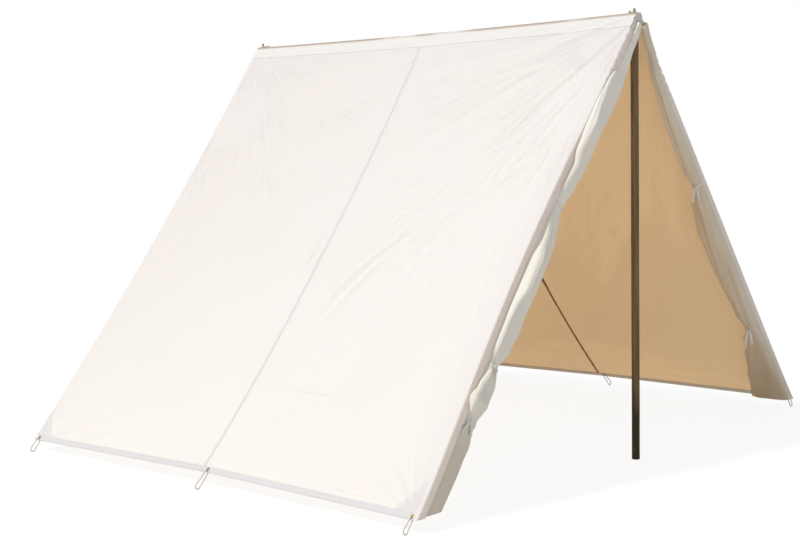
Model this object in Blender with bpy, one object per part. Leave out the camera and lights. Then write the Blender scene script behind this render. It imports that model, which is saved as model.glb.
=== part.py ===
"""Wedge tent: canvas slopes over a ridge pole on two uprights, with tied-back door flaps.

Metres, +Z up. The origin is the middle of the front upright's foot, on the ground. X runs
across the tent, with the left slope at -X as seen from the front, and Y runs to the rear.
"""
import math

import bmesh
import bpy
from mathutils import Matrix, Vector

LEFT = -1
RIGHT = 1
SIDE_NAMES = {LEFT: "left", RIGHT: "right"}

# Canvas body
RIDGE_HEIGHT = 2.10
HEM_SPREAD = 3.27
CANVAS_LENGTH = 2.56
HEM_HEIGHT = 0.055
SLOPE_SAG = 0.09
END_SAG_SHARE = 0.4
FRONT_BOW = {LEFT: 0.072, RIGHT: -0.02}
BOW_POWER = 1.5
HEM_RISE = 0.018
CLOTH = 0.002
TAPE = 0.0012
LAY_GAP = 0.0006
EDGE_GAP = 0.0004

# Sewn bands, seams and patches
RIDGE_BAND_REACH = 0.095
HEM_BAND_WIDTH = 0.030
SEAM_WIDTH = 0.014
PATCH_SIZE = 0.140
PATCH_TIP_SHARE = 0.15
REAR_BAND_INSET = 0.070
FACING_WIDTH = 0.040
FACING_TOP_SHARE = 0.25

# Ridge pole, uprights and their ironwork
POLE_WIDTH = 0.040
POLE_DEPTH = 0.046
POLE_ROUND = 0.008
POLE_END_INSET = 0.003
UPRIGHT_RADIUS = 0.019
UPRIGHT_CHAMFER = 0.003
UPRIGHT_INSET = 0.024
FERRULE_HEIGHT = 0.040
FERRULE_WALL = 0.0015
PIN_RADIUS = 0.006
PIN_TIP = 0.0015
PIN_SEAT_DEPTH = 0.080
PIN_ABOVE_CLOTH = 0.024
PIN_PLAY = 0.001

# Brass grommets, with their cord loops
HEM_HOLE_RADIUS = 0.006
RIDGE_HOLE_RADIUS = 0.0072
BARREL_WALL = 0.001
FLANGE_WIDTH = 0.0032
FLANGE = 0.0009
CORNER_HOLE_INSET = 0.030
SEAM_HOLE_INSET = 0.035
HEM_CORD_RADIUS = 0.0025
HEM_LOOP_TOP_RADIUS = 0.009
HEM_LOOP_SETTLE = {"hem": 0.0023, "corner": 0.0014}
HEM_LOOP_EYE_RADIUS = 0.013
RIDGE_CORD_RADIUS = 0.002
RIDGE_LOOP_REACH = {"front": 0.020, "rear": 0.045}

# Door flaps, gathered along the door seams, and the tapes that tie them
GATHER = 0.10
HEAD_TOP = 0.055
HEAD_END = 0.35
HEAD_GAP = 0.0006
FLAP_HEM_LIFT = 0.004
FLAP_SKEW_REACH = 0.35
TIE_WIDTH = 0.016
TIE_GRIP = 0.022
TIE_EASE = 0.085
TIE_SQUEEZE_SHARE = 0.30
KNOT_RISE = 0.010
KNOT_SHARES = (0.1, 0.3, 0.7, 0.9)
TAIL_LIFT = 0.0016
KNOT_COLUMN = {LEFT: 12, RIGHT: 8}
KNOT_COLUMNS = 4
TAIL_LENGTH = {LEFT: 0.070, RIGHT: 0.105}
TIE_DROP_SHARES = {LEFT: {"upper": 0.39, "middle": 0.71, "lower": 0.812},
                   RIGHT: {"upper": 0.363, "lower": 0.748}}

# Each row: share of the slope's length, then the middle's distances inwards and forwards
# from the door seam and the two half widths, all four as shares of GATHER.
FLAP_SHARES = {
    LEFT: ((0.00, -0.02, 0.23, 0.15, 0.14),
           (0.06, 0.14, 0.18, 0.22, 0.15),
           (0.12, 0.25, 0.13, 0.24, 0.13),
           (0.21, 0.26, 0.22, 0.24, 0.22),
           (0.30, 0.36, 0.20, 0.34, 0.26),
           (0.39, 0.32, 0.10, 0.29, 0.22),
           (0.46, 0.40, 0.26, 0.37, 0.36),
           (0.53, 0.41, 0.30, 0.37, 0.42),
           (0.61, 0.50, 0.20, 0.46, 0.34),
           (0.66, 0.58, 0.13, 0.54, 0.27),
           (0.72, 0.44, 0.12, 0.40, 0.26),
           (0.76, 0.37, 0.20, 0.34, 0.30),
           (0.82, 0.37, 0.10, 0.34, 0.24),
           (0.91, 0.40, 0.05, 0.37, 0.15),
           (1.00, 0.41, 0.02, 0.38, 0.10)),
    RIGHT: ((0.00, -0.02, 0.23, 0.15, 0.14),
            (0.06, 0.14, 0.14, 0.20, 0.16),
            (0.12, 0.26, -0.04, 0.24, 0.22),
            (0.24, 0.32, -0.14, 0.28, 0.28),
            (0.37, 0.33, -0.18, 0.28, 0.30),
            (0.42, 0.35, -0.34, 0.30, 0.42),
            (0.50, 0.36, -0.46, 0.31, 0.54),
            (0.62, 0.36, -0.44, 0.31, 0.54),
            (0.71, 0.36, -0.36, 0.30, 0.46),
            (0.76, 0.35, -0.36, 0.28, 0.44),
            (0.80, 0.33, -0.46, 0.26, 0.52),
            (0.86, 0.30, -0.68, 0.24, 0.72),
            (0.93, 0.27, -0.88, 0.21, 0.92),
            (1.00, 0.25, -1.00, 0.18, 1.04)),
}
FLAP_SIDES = 20
FLAP_FOLDS = 5
FOLD_SHARE = 0.13
FOLD_TURNS = 1.6

# Counts and tolerances
SMOOTH_ANGLE = math.radians(40)
MARK_SLACK = 0.00004
FACING_STEPS = 1
PATCH_STEPS = 2
CORD_BEVEL_STEPS = 1
PANEL_STEPS_ALONG = 6
PANEL_STEPS_DOWN = 13
WALL_STEPS = 7
FLAP_STEP_COUNT = 28
HEAD_STEP_COUNT = 6
ROUND_SIDES = 24
SMALL_SIDES = 12
CORNER_STEPS = 3
LOOP_TOP_STEPS = 5
LOOP_EYE_STEPS = 9

COLOURS = {
    "canvas": ((0.90, 0.88, 0.84), 0.9, 0.0),
    "sewn_band": ((0.82, 0.79, 0.73), 0.9, 0.0),
    "tape": ((0.86, 0.84, 0.79), 0.85, 0.0),
    "cord": ((0.62, 0.52, 0.40), 0.9, 0.0),
    "timber": ((0.27, 0.19, 0.12), 0.6, 0.0),
    "steel": ((0.32, 0.31, 0.30), 0.45, 1.0),
    "brass": ((0.60, 0.47, 0.24), 0.4, 1.0),
}

# Places that follow from the sizes above
FRONT_Y = -UPRIGHT_INSET
REAR_Y = FRONT_Y + CANVAS_LENGTH
UPRIGHT_Y = {"front": 0.0, "rear": REAR_Y - UPRIGHT_INSET}
POLE_TOP = RIDGE_HEIGHT - CLOTH - LAY_GAP
POLE_UNDERSIDE = POLE_TOP - POLE_DEPTH
UPRIGHT_TOP = POLE_UNDERSIDE - EDGE_GAP
ARC_X = POLE_WIDTH / 2 - POLE_ROUND
ARC_Z = POLE_TOP - POLE_ROUND
ARC_RADIUS = POLE_ROUND + LAY_GAP + CLOTH
HEM_X = HEM_SPREAD / 2
ARC_TO_HEM = Vector((HEM_X - ARC_X, HEM_HEIGHT - ARC_Z))
OUT_ANGLE = math.atan2(ARC_TO_HEM.y, ARC_TO_HEM.x) + math.acos(ARC_RADIUS / ARC_TO_HEM.length)
OUT_X = math.cos(OUT_ANGLE)
OUT_Z = math.sin(OUT_ANGLE)
SLOPE_LENGTH = math.sqrt(ARC_TO_HEM.length_squared - ARC_RADIUS ** 2)
SLOPE_START = ARC_X + ARC_RADIUS * (math.pi / 2 - OUT_ANGLE)
CLOTH_REACH = SLOPE_START + SLOPE_LENGTH
BAND_TOP = CLOTH_REACH - HEM_BAND_WIDTH
HEM_HOLE_DOWN = CLOTH_REACH - HEM_BAND_WIDTH / 2
FACE_Y = FRONT_Y - EDGE_GAP - CLOTH / 2
HINGE_X = ARC_X + ARC_RADIUS * OUT_X - FACING_WIDTH * OUT_X
HINGE_Z = ARC_Z + ARC_RADIUS * OUT_Z - FACING_WIDTH * OUT_Z
FLAP_END = (HINGE_Z - HEM_HEIGHT - FLAP_HEM_LIFT) / OUT_X
BARREL_RADIUS = {"hem": HEM_HOLE_RADIUS + BARREL_WALL, "ridge": RIDGE_HOLE_RADIUS + BARREL_WALL}


def clear_scene():
    """Remove every object of the startup scene."""
    for thing in list(bpy.data.objects):
        bpy.data.objects.remove(thing, do_unlink=True)


def finish(name):
    """Return the named finish, made the first time it is asked for."""
    if name in bpy.data.materials:
        return bpy.data.materials[name]
    colour, roughness, metallic = COLOURS[name]
    material = bpy.data.materials.new(name)
    material.use_nodes = True
    shader = material.node_tree.nodes["Principled BSDF"]
    shader.inputs["Base Color"].default_value = (*colour, 1.0)
    shader.inputs["Roughness"].default_value = roughness
    shader.inputs["Metallic"].default_value = metallic
    material.diffuse_color = (*colour, 1.0)
    return material


def add_object(name, data, material):
    """Link a new object with this mesh or curve and finish."""
    data.materials.append(finish(material))
    thing = bpy.data.objects.new(name, data)
    bpy.context.collection.objects.link(thing)
    return thing


def solid(name, shape, material, smooth=False):
    """Make one object from a closed shape, a pair of points and faces."""
    mesh = bpy.data.meshes.new(name)
    mesh.from_pydata(shape[0], [], shape[1])
    work = bmesh.new()
    work.from_mesh(mesh)
    bmesh.ops.recalc_face_normals(work, faces=work.faces)
    work.to_mesh(mesh)
    work.free()
    if smooth:
        mesh.shade_smooth()
        mesh.set_sharp_from_angle(angle=SMOOTH_ANGLE)
    return add_object(name, mesh, material)


def split(points, quad):
    """Two triangles for a quad, cut alike in every layer: from its high front corner."""
    heights = [points[corner].z - points[corner].y for corner in quad]
    first = heights.index(max(heights))
    turned_quad = quad[first:] + quad[:first]
    return [turned_quad[:3], [turned_quad[0], *turned_quad[2:]]]


def sheet(rows):
    """Closed sheet from rows of (outer, inner) point pairs, joined round its rim."""
    tall = len(rows)
    wide = len(rows[0])
    points = [pair[layer] for layer in (0, 1) for row in rows for pair in row]
    inner = tall * wide
    faces = []
    for i in range(tall - 1):
        for j in range(wide - 1):
            a = i * wide + j
            quad = [a, a + 1, a + wide + 1, a + wide]
            faces += split(points, quad)
            faces += split(points, [inner + corner for corner in reversed(quad)])
    rim = list(range(wide))
    rim += [i * wide + wide - 1 for i in range(1, tall)]
    rim += [(tall - 1) * wide + j for j in range(wide - 2, -1, -1)]
    rim += [i * wide for i in range(tall - 2, 0, -1)]
    for here, after in zip(rim, rim[1:] + rim[:1]):
        faces.append([here, inner + here, inner + after, after])
    return points, faces


def loft(sections, middles):
    """Closed body through like sections, with an end fan round each middle."""
    count = len(sections[0])
    points = [point for section in sections for point in section]
    faces = []
    for i in range(len(sections) - 1):
        for k in range(count):
            here = i * count + k
            beside = i * count + (k + 1) % count
            faces += split(points, [here, beside, beside + count, here + count])
    last = (len(sections) - 1) * count
    points.extend(middles)
    for k in range(count):
        faces.append([(k + 1) % count, k, last + count])
        faces.append([last + k, last + (k + 1) % count, last + count + 1])
    return points, faces


def turned(outline, sides, place=Matrix.Identity(4)):
    """Solid of revolution about the local Z of place, from (radius, height) points."""
    points = []
    rings = []
    for radius, height in outline:
        start = len(points)
        if radius == 0.0:
            points.append(place @ Vector((0.0, 0.0, height)))
            rings.append([start] * sides)
            continue
        for k in range(sides):
            turn = 2 * math.pi * k / sides
            points.append(place @ Vector((radius * math.cos(turn), radius * math.sin(turn), height)))
        rings.append(list(range(start, start + sides)))
    on_axis = outline[0][0] == 0.0
    pairs = list(zip(rings, rings[1:]))
    if not on_axis:
        pairs.append((rings[-1], rings[0]))
    faces = []
    for lower, upper in pairs:
        for k in range(sides):
            after = (k + 1) % sides
            corners = [lower[k], lower[after], upper[after], upper[k]]
            faces.append(list(dict.fromkeys(corners)))
    return points, faces


def cutter(name, place, radius, half_length):
    """Hidden cylinder along the local Z of place."""
    outline = [(0.0, -half_length), (radius, -half_length), (radius, half_length), (0.0, half_length)]
    thing = solid(name, turned(outline, ROUND_SIDES, place), "steel")
    thing.hide_render = True
    thing.display_type = "WIRE"
    return thing


def drill(thing, cutters):
    """Cut each hidden cylinder out of an object."""
    for tool in cutters:
        cut = thing.modifiers.new(tool.name, "BOOLEAN")
        cut.operation = "DIFFERENCE"
        cut.solver = "EXACT"
        cut.object = tool


def shares(steps):
    """Even shares from 0 to 1."""
    return [i / steps for i in range(steps + 1)]


def profile(down):
    """Outer face of the cloth, down metres from the ridge line: x, z and its normal."""
    if down <= ARC_X:
        return down, RIDGE_HEIGHT, 0.0, 1.0
    if down <= SLOPE_START:
        turn = (down - ARC_X) / ARC_RADIUS
        return (ARC_X + ARC_RADIUS * math.sin(turn), ARC_Z + ARC_RADIUS * math.cos(turn),
                math.sin(turn), math.cos(turn))
    run = down - SLOPE_START
    return (ARC_X + ARC_RADIUS * OUT_X + run * OUT_Z, ARC_Z + ARC_RADIUS * OUT_Z - run * OUT_X,
            OUT_X, OUT_Z)


def belly_at(down):
    """Share of the full sag: 0 at the ridge and the hem, 1 half way."""
    share = max(0.0, (down - SLOPE_START) / SLOPE_LENGTH)
    return 4 * share * (1 - share)


def bow_at(side, down):
    """How far the front edge bows towards the rear."""
    return FRONT_BOW[side] * belly_at(down) ** BOW_POWER


def sink_at(along, down):
    """How far the slope sags inwards."""
    middle = 4 * along * (1 - along)
    return SLOPE_SAG * belly_at(down) * (END_SAG_SHARE + (1 - END_SAG_SHARE) * middle)


def cloth_point(side, along, down, rise=0.0):
    """Point of a slope, rise above its outer face; along is 0 at the front and 1 at the rear."""
    share = max(0.0, (down - SLOPE_START) / SLOPE_LENGTH)
    drawn_up = HEM_RISE * (1 - abs(2 * along - 1)) * share ** 2
    x, z, normal_x, normal_z = profile(down - drawn_up)
    height = rise - sink_at(along, down)
    y = FRONT_Y + along * CANVAS_LENGTH + bow_at(side, down) * (1 - along)
    return Vector((side * (x + normal_x * height), y, z + normal_z * height))


def stations(marks, start, end):
    """The marks that lie between two ends, with the ends."""
    inside = sorted(mark for mark in marks if start + MARK_SLACK < mark < end - MARK_SLACK)
    return [start, *inside, end]


def down_marks():
    """Shared lines across the slopes, so that sewn layers lie on each other."""
    marks = [ARC_X, (ARC_X + SLOPE_START) / 2, SLOPE_START, BAND_TOP - PATCH_SIZE, BAND_TOP]
    reach = BAND_TOP - PATCH_SIZE - RIDGE_BAND_REACH
    marks += [RIDGE_BAND_REACH + share * reach for share in shares(PANEL_STEPS_DOWN)[:-1]]
    return marks


def along_marks():
    """Shared lines down the slopes, as shares of the canvas length."""
    patch_share = PATCH_SIZE / CANVAS_LENGTH
    marks = [patch_share, 1 - patch_share]
    half = 0.5 - patch_share
    marks += [patch_share + half * share for share in shares(PANEL_STEPS_ALONG)[1:]]
    marks += [0.5 + half * share for share in shares(PANEL_STEPS_ALONG)[1:-1]]
    return marks


def slope_sheet(side, along_range, down_range, top, thickness):
    """Sheet on a slope with its outer face top metres above the panel's."""
    rows = []
    for down in stations(down_marks(), *down_range):
        row = []
        for along in stations(along_marks(), *along_range):
            row.append((cloth_point(side, along, down, top),
                        cloth_point(side, along, down, top - thickness)))
        rows.append(row)
    return sheet(rows)


def hem_hole(side, along):
    """Place of a hem grommet on a slope: Z out of the cloth, -Y down the slope."""
    reach = HEM_BAND_WIDTH / 2
    step = reach / CANVAS_LENGTH
    middle = cloth_point(side, along, HEM_HOLE_DOWN)
    down = cloth_point(side, along, HEM_HOLE_DOWN + reach) - cloth_point(side, along, HEM_HOLE_DOWN - reach)
    rearwards = cloth_point(side, along + step, HEM_HOLE_DOWN) - cloth_point(side, along - step, HEM_HOLE_DOWN)
    down.normalize()
    out = side * down.cross(rearwards).normalized()
    across = (-down).cross(out)
    place = Matrix((across, -down, out)).transposed().to_4x4()
    place.translation = middle
    return place


def rear_hole():
    """Place of the rear wall's hem grommet: Z out of the cloth, -Y down."""
    across = Vector((-1.0, 0.0, 0.0))
    place = Matrix((across, Vector((0.0, 0.0, 1.0)), Vector((0.0, 1.0, 0.0)))).transposed().to_4x4()
    place.translation = Vector((SEAM_HOLE_INSET, REAR_Y + EDGE_GAP + CLOTH,
                                HEM_HEIGHT + HEM_BAND_WIDTH / 2))
    return place


def grommet(place, hole, barrel, stack, lower_flange=True):
    """Brass spool through the cloth: a barrel with a flange on each face."""
    top = EDGE_GAP + FLANGE
    foot = -stack - EDGE_GAP - FLANGE
    flange = barrel + FLANGE_WIDTH
    outline = [(hole, top), (flange, top), (flange, top - FLANGE), (barrel, top - FLANGE)]
    if lower_flange:
        outline += [(barrel, foot + FLANGE), (flange, foot + FLANGE), (flange, foot), (hole, foot)]
    else:
        outline += [(barrel, -stack), (hole, -stack)]
    return turned(outline, SMALL_SIDES, place)


def belt_points(small, large, distance):
    """Closed route round two circles, the small one at 0 and the large one at distance."""
    lean = math.acos((small - large) / distance)
    route = []
    for share in shares(LOOP_EYE_STEPS):
        turn = -lean + 2 * lean * share
        route.append((distance + large * math.cos(turn), large * math.sin(turn)))
    for share in shares(LOOP_TOP_STEPS):
        turn = lean + 2 * (math.pi - lean) * share
        route.append((small * math.cos(turn), small * math.sin(turn)))
    return route


def cord_ring(name, ring, radius):
    """Curve object of a closed cord through a ring of points."""
    curve = bpy.data.curves.new(name, "CURVE")
    curve.dimensions = "3D"
    curve.bevel_depth = radius
    curve.bevel_resolution = CORD_BEVEL_STEPS
    spline = curve.splines.new("POLY")
    spline.points.add(len(ring) - 1)
    for point, place in zip(spline.points, ring):
        point.co = (*place, 1.0)
    spline.use_cyclic_u = True
    return add_object(name, curve, "cord")


def hem_ring(place, settle):
    """Cord loop from a hem grommet down to the ground, resting on the hole's lower rim."""
    drop_per_metre = place.col[1].z
    top = settle + HEM_LOOP_TOP_RADIUS
    eye_height = HEM_LOOP_EYE_RADIUS + HEM_CORD_RADIUS
    distance = (place.translation.z - eye_height) / drop_per_metre - top
    route = belt_points(HEM_LOOP_TOP_RADIUS, HEM_LOOP_EYE_RADIUS, distance)
    return [place @ Vector((0.0, -top - down, out)) for down, out in route]


def build_frame():
    """Ridge pole, uprights, ferrules and pins."""
    half_width = POLE_WIDTH / 2 - POLE_ROUND
    half_depth = POLE_DEPTH / 2 - POLE_ROUND
    centre_z = POLE_TOP - POLE_DEPTH / 2
    outline = []
    for quarter, (right, up) in enumerate(((1, 1), (-1, 1), (-1, -1), (1, -1))):
        for share in shares(CORNER_STEPS):
            turn = (quarter + share) * math.pi / 2
            outline.append((right * half_width + POLE_ROUND * math.cos(turn),
                            centre_z + up * half_depth + POLE_ROUND * math.sin(turn)))
    ends = (FRONT_Y + POLE_END_INSET, REAR_Y - EDGE_GAP)
    sections = [[Vector((x, y, z)) for x, z in outline] for y in ends]
    middles = [Vector((0.0, y, centre_z)) for y in ends]
    pole = solid("ridge_pole", loft(sections, middles), "timber", smooth=True)
    bores = []
    for end, y in UPRIGHT_Y.items():
        place = Matrix.Translation((0.0, y, centre_z))
        bores.append(cutter(f"cut_{end}_pole_bore", place, PIN_RADIUS + PIN_PLAY, POLE_DEPTH))
        build_upright(end, y)
    drill(pole, bores)


def build_upright(end, y):
    """One upright with its ferrule and top pin, about its own vertical axis."""
    seat = PIN_RADIUS + EDGE_GAP
    seat_z = UPRIGHT_TOP - PIN_SEAT_DEPTH
    outline = [(0.0, 0.0), (UPRIGHT_RADIUS - UPRIGHT_CHAMFER, 0.0), (UPRIGHT_RADIUS, UPRIGHT_CHAMFER),
               (UPRIGHT_RADIUS, UPRIGHT_TOP), (seat, UPRIGHT_TOP), (seat, seat_z), (0.0, seat_z)]
    upright = solid(f"{end}_upright", turned(outline, ROUND_SIDES), "timber", smooth=True)
    inner = UPRIGHT_RADIUS + EDGE_GAP
    outer = inner + FERRULE_WALL
    foot = UPRIGHT_TOP - FERRULE_HEIGHT
    band = [(inner, foot), (outer, foot), (outer, UPRIGHT_TOP), (inner, UPRIGHT_TOP)]
    ferrule = solid(f"{end}_ferrule", turned(band, ROUND_SIDES), "steel", smooth=True)
    low = seat_z + EDGE_GAP
    tip = RIDGE_HEIGHT + PIN_ABOVE_CLOTH
    rod = [(0.0, low), (PIN_RADIUS, low), (PIN_RADIUS, tip - PIN_TIP), (PIN_RADIUS - PIN_TIP, tip), (0.0, tip)]
    pin = solid(f"{end}_pin", turned(rod, ROUND_SIDES), "steel", smooth=True)
    for piece in (upright, ferrule, pin):
        piece.location = (0.0, y, 0.0)


def build_slopes(side, hem_cutters, ridge_cutters):
    """Two panels of a slope with their seam, hem band and corner patches."""
    name = SIDE_NAMES[side]
    centre_edge = EDGE_GAP / 2
    seam_edge = centre_edge / CANVAS_LENGTH
    front = solid(f"{name}_slope_front_panel",
                  slope_sheet(side, (0.0, 0.5 - seam_edge), (centre_edge, CLOTH_REACH), 0.0, CLOTH),
                  "canvas", smooth=True)
    rear = solid(f"{name}_slope_rear_panel",
                 slope_sheet(side, (0.5 + seam_edge, 1.0), (centre_edge, CLOTH_REACH), 0.0, CLOTH),
                 "canvas", smooth=True)
    under = -CLOTH - LAY_GAP
    seam_half = SEAM_WIDTH / 2 / CANVAS_LENGTH
    solid(f"{name}_slope_seam",
          slope_sheet(side, (0.5 - seam_half, 0.5 + seam_half),
                       (RIDGE_BAND_REACH, BAND_TOP - EDGE_GAP), under, TAPE), "sewn_band")
    band = solid(f"{name}_hem_band",
                 slope_sheet(side, (0.0, 1.0), (BAND_TOP, CLOTH_REACH), under, TAPE), "sewn_band")
    front_cutters = [hem_cutters["front"], hem_cutters["seam"]]
    drill(front, [*front_cutters, ridge_cutters["front"]])
    drill(rear, [hem_cutters["rear"], ridge_cutters["rear"]])
    drill(band, hem_cutters.values())
    for end in ("front", "rear"):
        patch = solid(f"{name}_{end}_corner_patch", corner_patch(side, end), "sewn_band")
        drill(patch, [hem_cutters[end]])


def corner_patch(side, end):
    """Three-cornered patch over the hem band, inside the tent."""
    top = -CLOTH - 2 * LAY_GAP - TAPE
    tall = PATCH_SIZE + HEM_BAND_WIDTH
    rows = []
    for down in stations(down_marks(), BAND_TOP - PATCH_SIZE, CLOTH_REACH - EDGE_GAP):
        share = max(PATCH_TIP_SHARE, (down - CLOTH_REACH + tall) / tall)
        width = PATCH_SIZE * share / CANVAS_LENGTH
        row = []
        for part in shares(PATCH_STEPS):
            along = part * width
            along = along if end == "front" else 1 - along
            row.append((cloth_point(side, along, down, top), cloth_point(side, along, down, top - TAPE)))
        rows.append(row)
    return sheet(rows)


def build_ridge_band(ridge_cutters):
    """Reinforcing band over the ridge, on the outside of both slopes."""
    downs = stations(down_marks(), EDGE_GAP / 2, RIDGE_BAND_REACH)
    signed = [(LEFT, down) for down in reversed(downs[1:])] + [(RIGHT, down) for down in downs[1:]]
    top = LAY_GAP + TAPE
    rows = []
    for side, down in signed:
        row = []
        for along in stations(along_marks(), 0.0, 1.0):
            row.append((cloth_point(side, along, down, top), cloth_point(side, along, down, LAY_GAP)))
        rows.append(row)
    band = solid("ridge_band", sheet(rows), "sewn_band", smooth=True)
    drill(band, ridge_cutters.values())


def build_rear_wall(hole_cutter):
    """Closed rear: two halves with a centre seam and a hem band."""
    inner_y = REAR_Y + EDGE_GAP
    halves = {}
    for side in (LEFT, RIGHT):
        rows = []
        for down in stations(down_marks(), ARC_X, CLOTH_REACH):
            edge = cloth_point(side, 1.0, down)
            centre_x = side * EDGE_GAP / 2
            row = []
            for share in shares(WALL_STEPS):
                x = edge.x + share * (centre_x - edge.x)
                row.append((Vector((x, inner_y + CLOTH, edge.z)), Vector((x, inner_y, edge.z))))
            rows.append(row)
        halves[side] = solid(f"rear_wall_{SIDE_NAMES[side]}", sheet(rows), "canvas")
    drill(halves[RIGHT], [hole_cutter])
    seam_y = inner_y + CLOTH + LAY_GAP
    seam_top = RIDGE_HEIGHT - ARC_RADIUS
    solid("rear_wall_seam", wall_strip(SEAM_WIDTH / 2, HEM_HEIGHT, seam_top, seam_y, TAPE), "sewn_band")
    band_y = inner_y - LAY_GAP - TAPE
    band = solid("rear_hem_band",
                 wall_strip(HEM_X - REAR_BAND_INSET, HEM_HEIGHT, HEM_HEIGHT + HEM_BAND_WIDTH,
                             band_y, TAPE), "sewn_band")
    drill(band, [hole_cutter])


def wall_strip(half_width, low, high, near_y, thickness):
    """Flat strip across the rear wall."""
    rows = []
    for z in (low, high):
        rows.append([(Vector((x, near_y + thickness, z)), Vector((x, near_y, z)))
                     for x in (-half_width, half_width)])
    return sheet(rows)


def eased(share):
    """Smooth step from 0 to 1, held at its ends."""
    share = min(1.0, max(0.0, share))
    return share * share * (3 - 2 * share)


def lean_at(to_end):
    """Share by which sections near the foot lean, to end level with the ground."""
    return eased(1 - to_end / FLAP_SKEW_REACH)


def door_point(side, run, inwards, forwards):
    """Point by its distance down the door hinge, inwards and forwards of the hinge."""
    run_here = run - lean_at(FLAP_END - run) * inwards * OUT_Z / OUT_X
    x = HINGE_X + run_here * OUT_Z - inwards * OUT_X
    z = HINGE_Z - run_here * OUT_X - inwards * OUT_Z
    return Vector((side * x, FACE_Y - forwards, z))


def seam_offset(side, run):
    """Where the bowed door seam lies from the straight hinge: inwards and forwards."""
    down = SLOPE_START + run
    return sink_at(0.0, down), -bow_at(side, down)


def build_facing(side):
    """Strip turned in at the slope's front edge, to which the door flap is sewn."""
    rows = []
    for down in stations(down_marks(), ARC_X * FACING_TOP_SHARE, CLOTH_REACH):
        row = []
        for share in shares(FACING_STEPS):
            lift = share * lean_at(CLOTH_REACH - down) * FACING_WIDTH * OUT_Z / OUT_X
            edge = cloth_point(side, 0.0, down - lift)
            depth = share * min(FACING_WIDTH, (abs(edge.x) - EDGE_GAP / 2) / OUT_X)
            inner = Vector((edge.x - side * depth * OUT_X, edge.y - EDGE_GAP, edge.z - depth * OUT_Z))
            row.append((inner - Vector((0.0, CLOTH, 0.0)), inner))
        rows.append(row)
    solid(f"{SIDE_NAMES[side]}_door_facing", sheet(rows), "canvas", smooth=True)


def grip_at(side, run):
    """How firmly a tie holds the flap at this place: 1 under a tie, 0 away from it."""
    grip = 0.0
    for drop_share in TIE_DROP_SHARES[side].values():
        away = abs(run - drop_share * SLOPE_LENGTH) - TIE_GRIP / 2
        grip = max(grip, eased(1 - away / TIE_EASE))
    return grip


def flap_measures(side, run):
    """Middle and half widths of the gathered flap, eased between the rows of FLAP_SHARES."""
    rows = FLAP_SHARES[side]
    drop = min(1.0, run / FLAP_END)
    for low, high in zip(rows, rows[1:]):
        if drop <= high[0]:
            ease = eased((drop - low[0]) / (high[0] - low[0]))
            return [GATHER * (a + ease * (b - a)) for a, b in zip(low[1:], high[1:])]
    return [GATHER * value for value in rows[-1][1:]]


def flap_section(side, run, grow=0.0):
    """Outline of the gathered flap, grow metres outside it, from the door seam round."""
    inwards, forwards, half_width, half_depth = flap_measures(side, run)
    seam_in, seam_forward = seam_offset(side, run)
    grip = grip_at(side, run)
    squeeze = 1 - TIE_SQUEEZE_SHARE * grip
    to_seam = math.atan2(-forwards, -inwards)
    outline = []
    for k in range(1, FLAP_SIDES):
        turn = to_seam + 2 * math.pi * k / FLAP_SIDES
        near_seam = math.sin(math.pi * k / FLAP_SIDES)
        drift = 2 * math.pi * FOLD_TURNS * run / SLOPE_LENGTH
        fold = 1 + FOLD_SHARE * near_seam * (1 - grip) * math.cos(FLAP_FOLDS * turn + drift)
        outline.append((seam_in + inwards + (half_width * squeeze * fold + grow) * math.cos(turn),
                        seam_forward + forwards + (half_depth * squeeze * fold + grow) * math.sin(turn)))
    points = [door_point(side, run, a, b) for a, b in outline]
    middle = door_point(side, run, seam_in + inwards, seam_forward + forwards)
    tips = [door_point(side, run, seam_in + EDGE_GAP, seam_forward + turn * CLOTH / 2) for turn in (1, -1)]
    return points, tips, middle


def flap_runs(side, start, end, steps):
    """Places of the flap's sections, with a pair at each tie."""
    ties = [share * SLOPE_LENGTH for share in TIE_DROP_SHARES[side].values()]
    runs = [start + (end - start) * share for share in shares(steps)]
    kept = [run for run in runs if all(abs(run - tie) > TIE_GRIP for tie in ties)]
    for tie in ties:
        if start < tie < end:
            kept += [tie - TIE_GRIP / 2, tie + TIE_GRIP / 2]
    return sorted(kept)


def flap_body(side, runs):
    """Closed body of gathered cloth through its sections."""
    sections = []
    middles = []
    for run in runs:
        points, tips, middle = flap_section(side, run)
        sections.append([tips[1], *points, tips[0]])
        middles.append(middle)
    return loft(sections, [middles[0], middles[-1]])


def flap_strip(side, rows, columns):
    """Sheet over the flap's outline from (run, inner rise, outer rise) rows."""
    grid = []
    for run, low, high in rows:
        outer = flap_section(side, run, high)[0]
        inner = flap_section(side, run, low)[0]
        grid.append([(outer[k], inner[k]) for k in columns])
    return sheet(grid)


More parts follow.
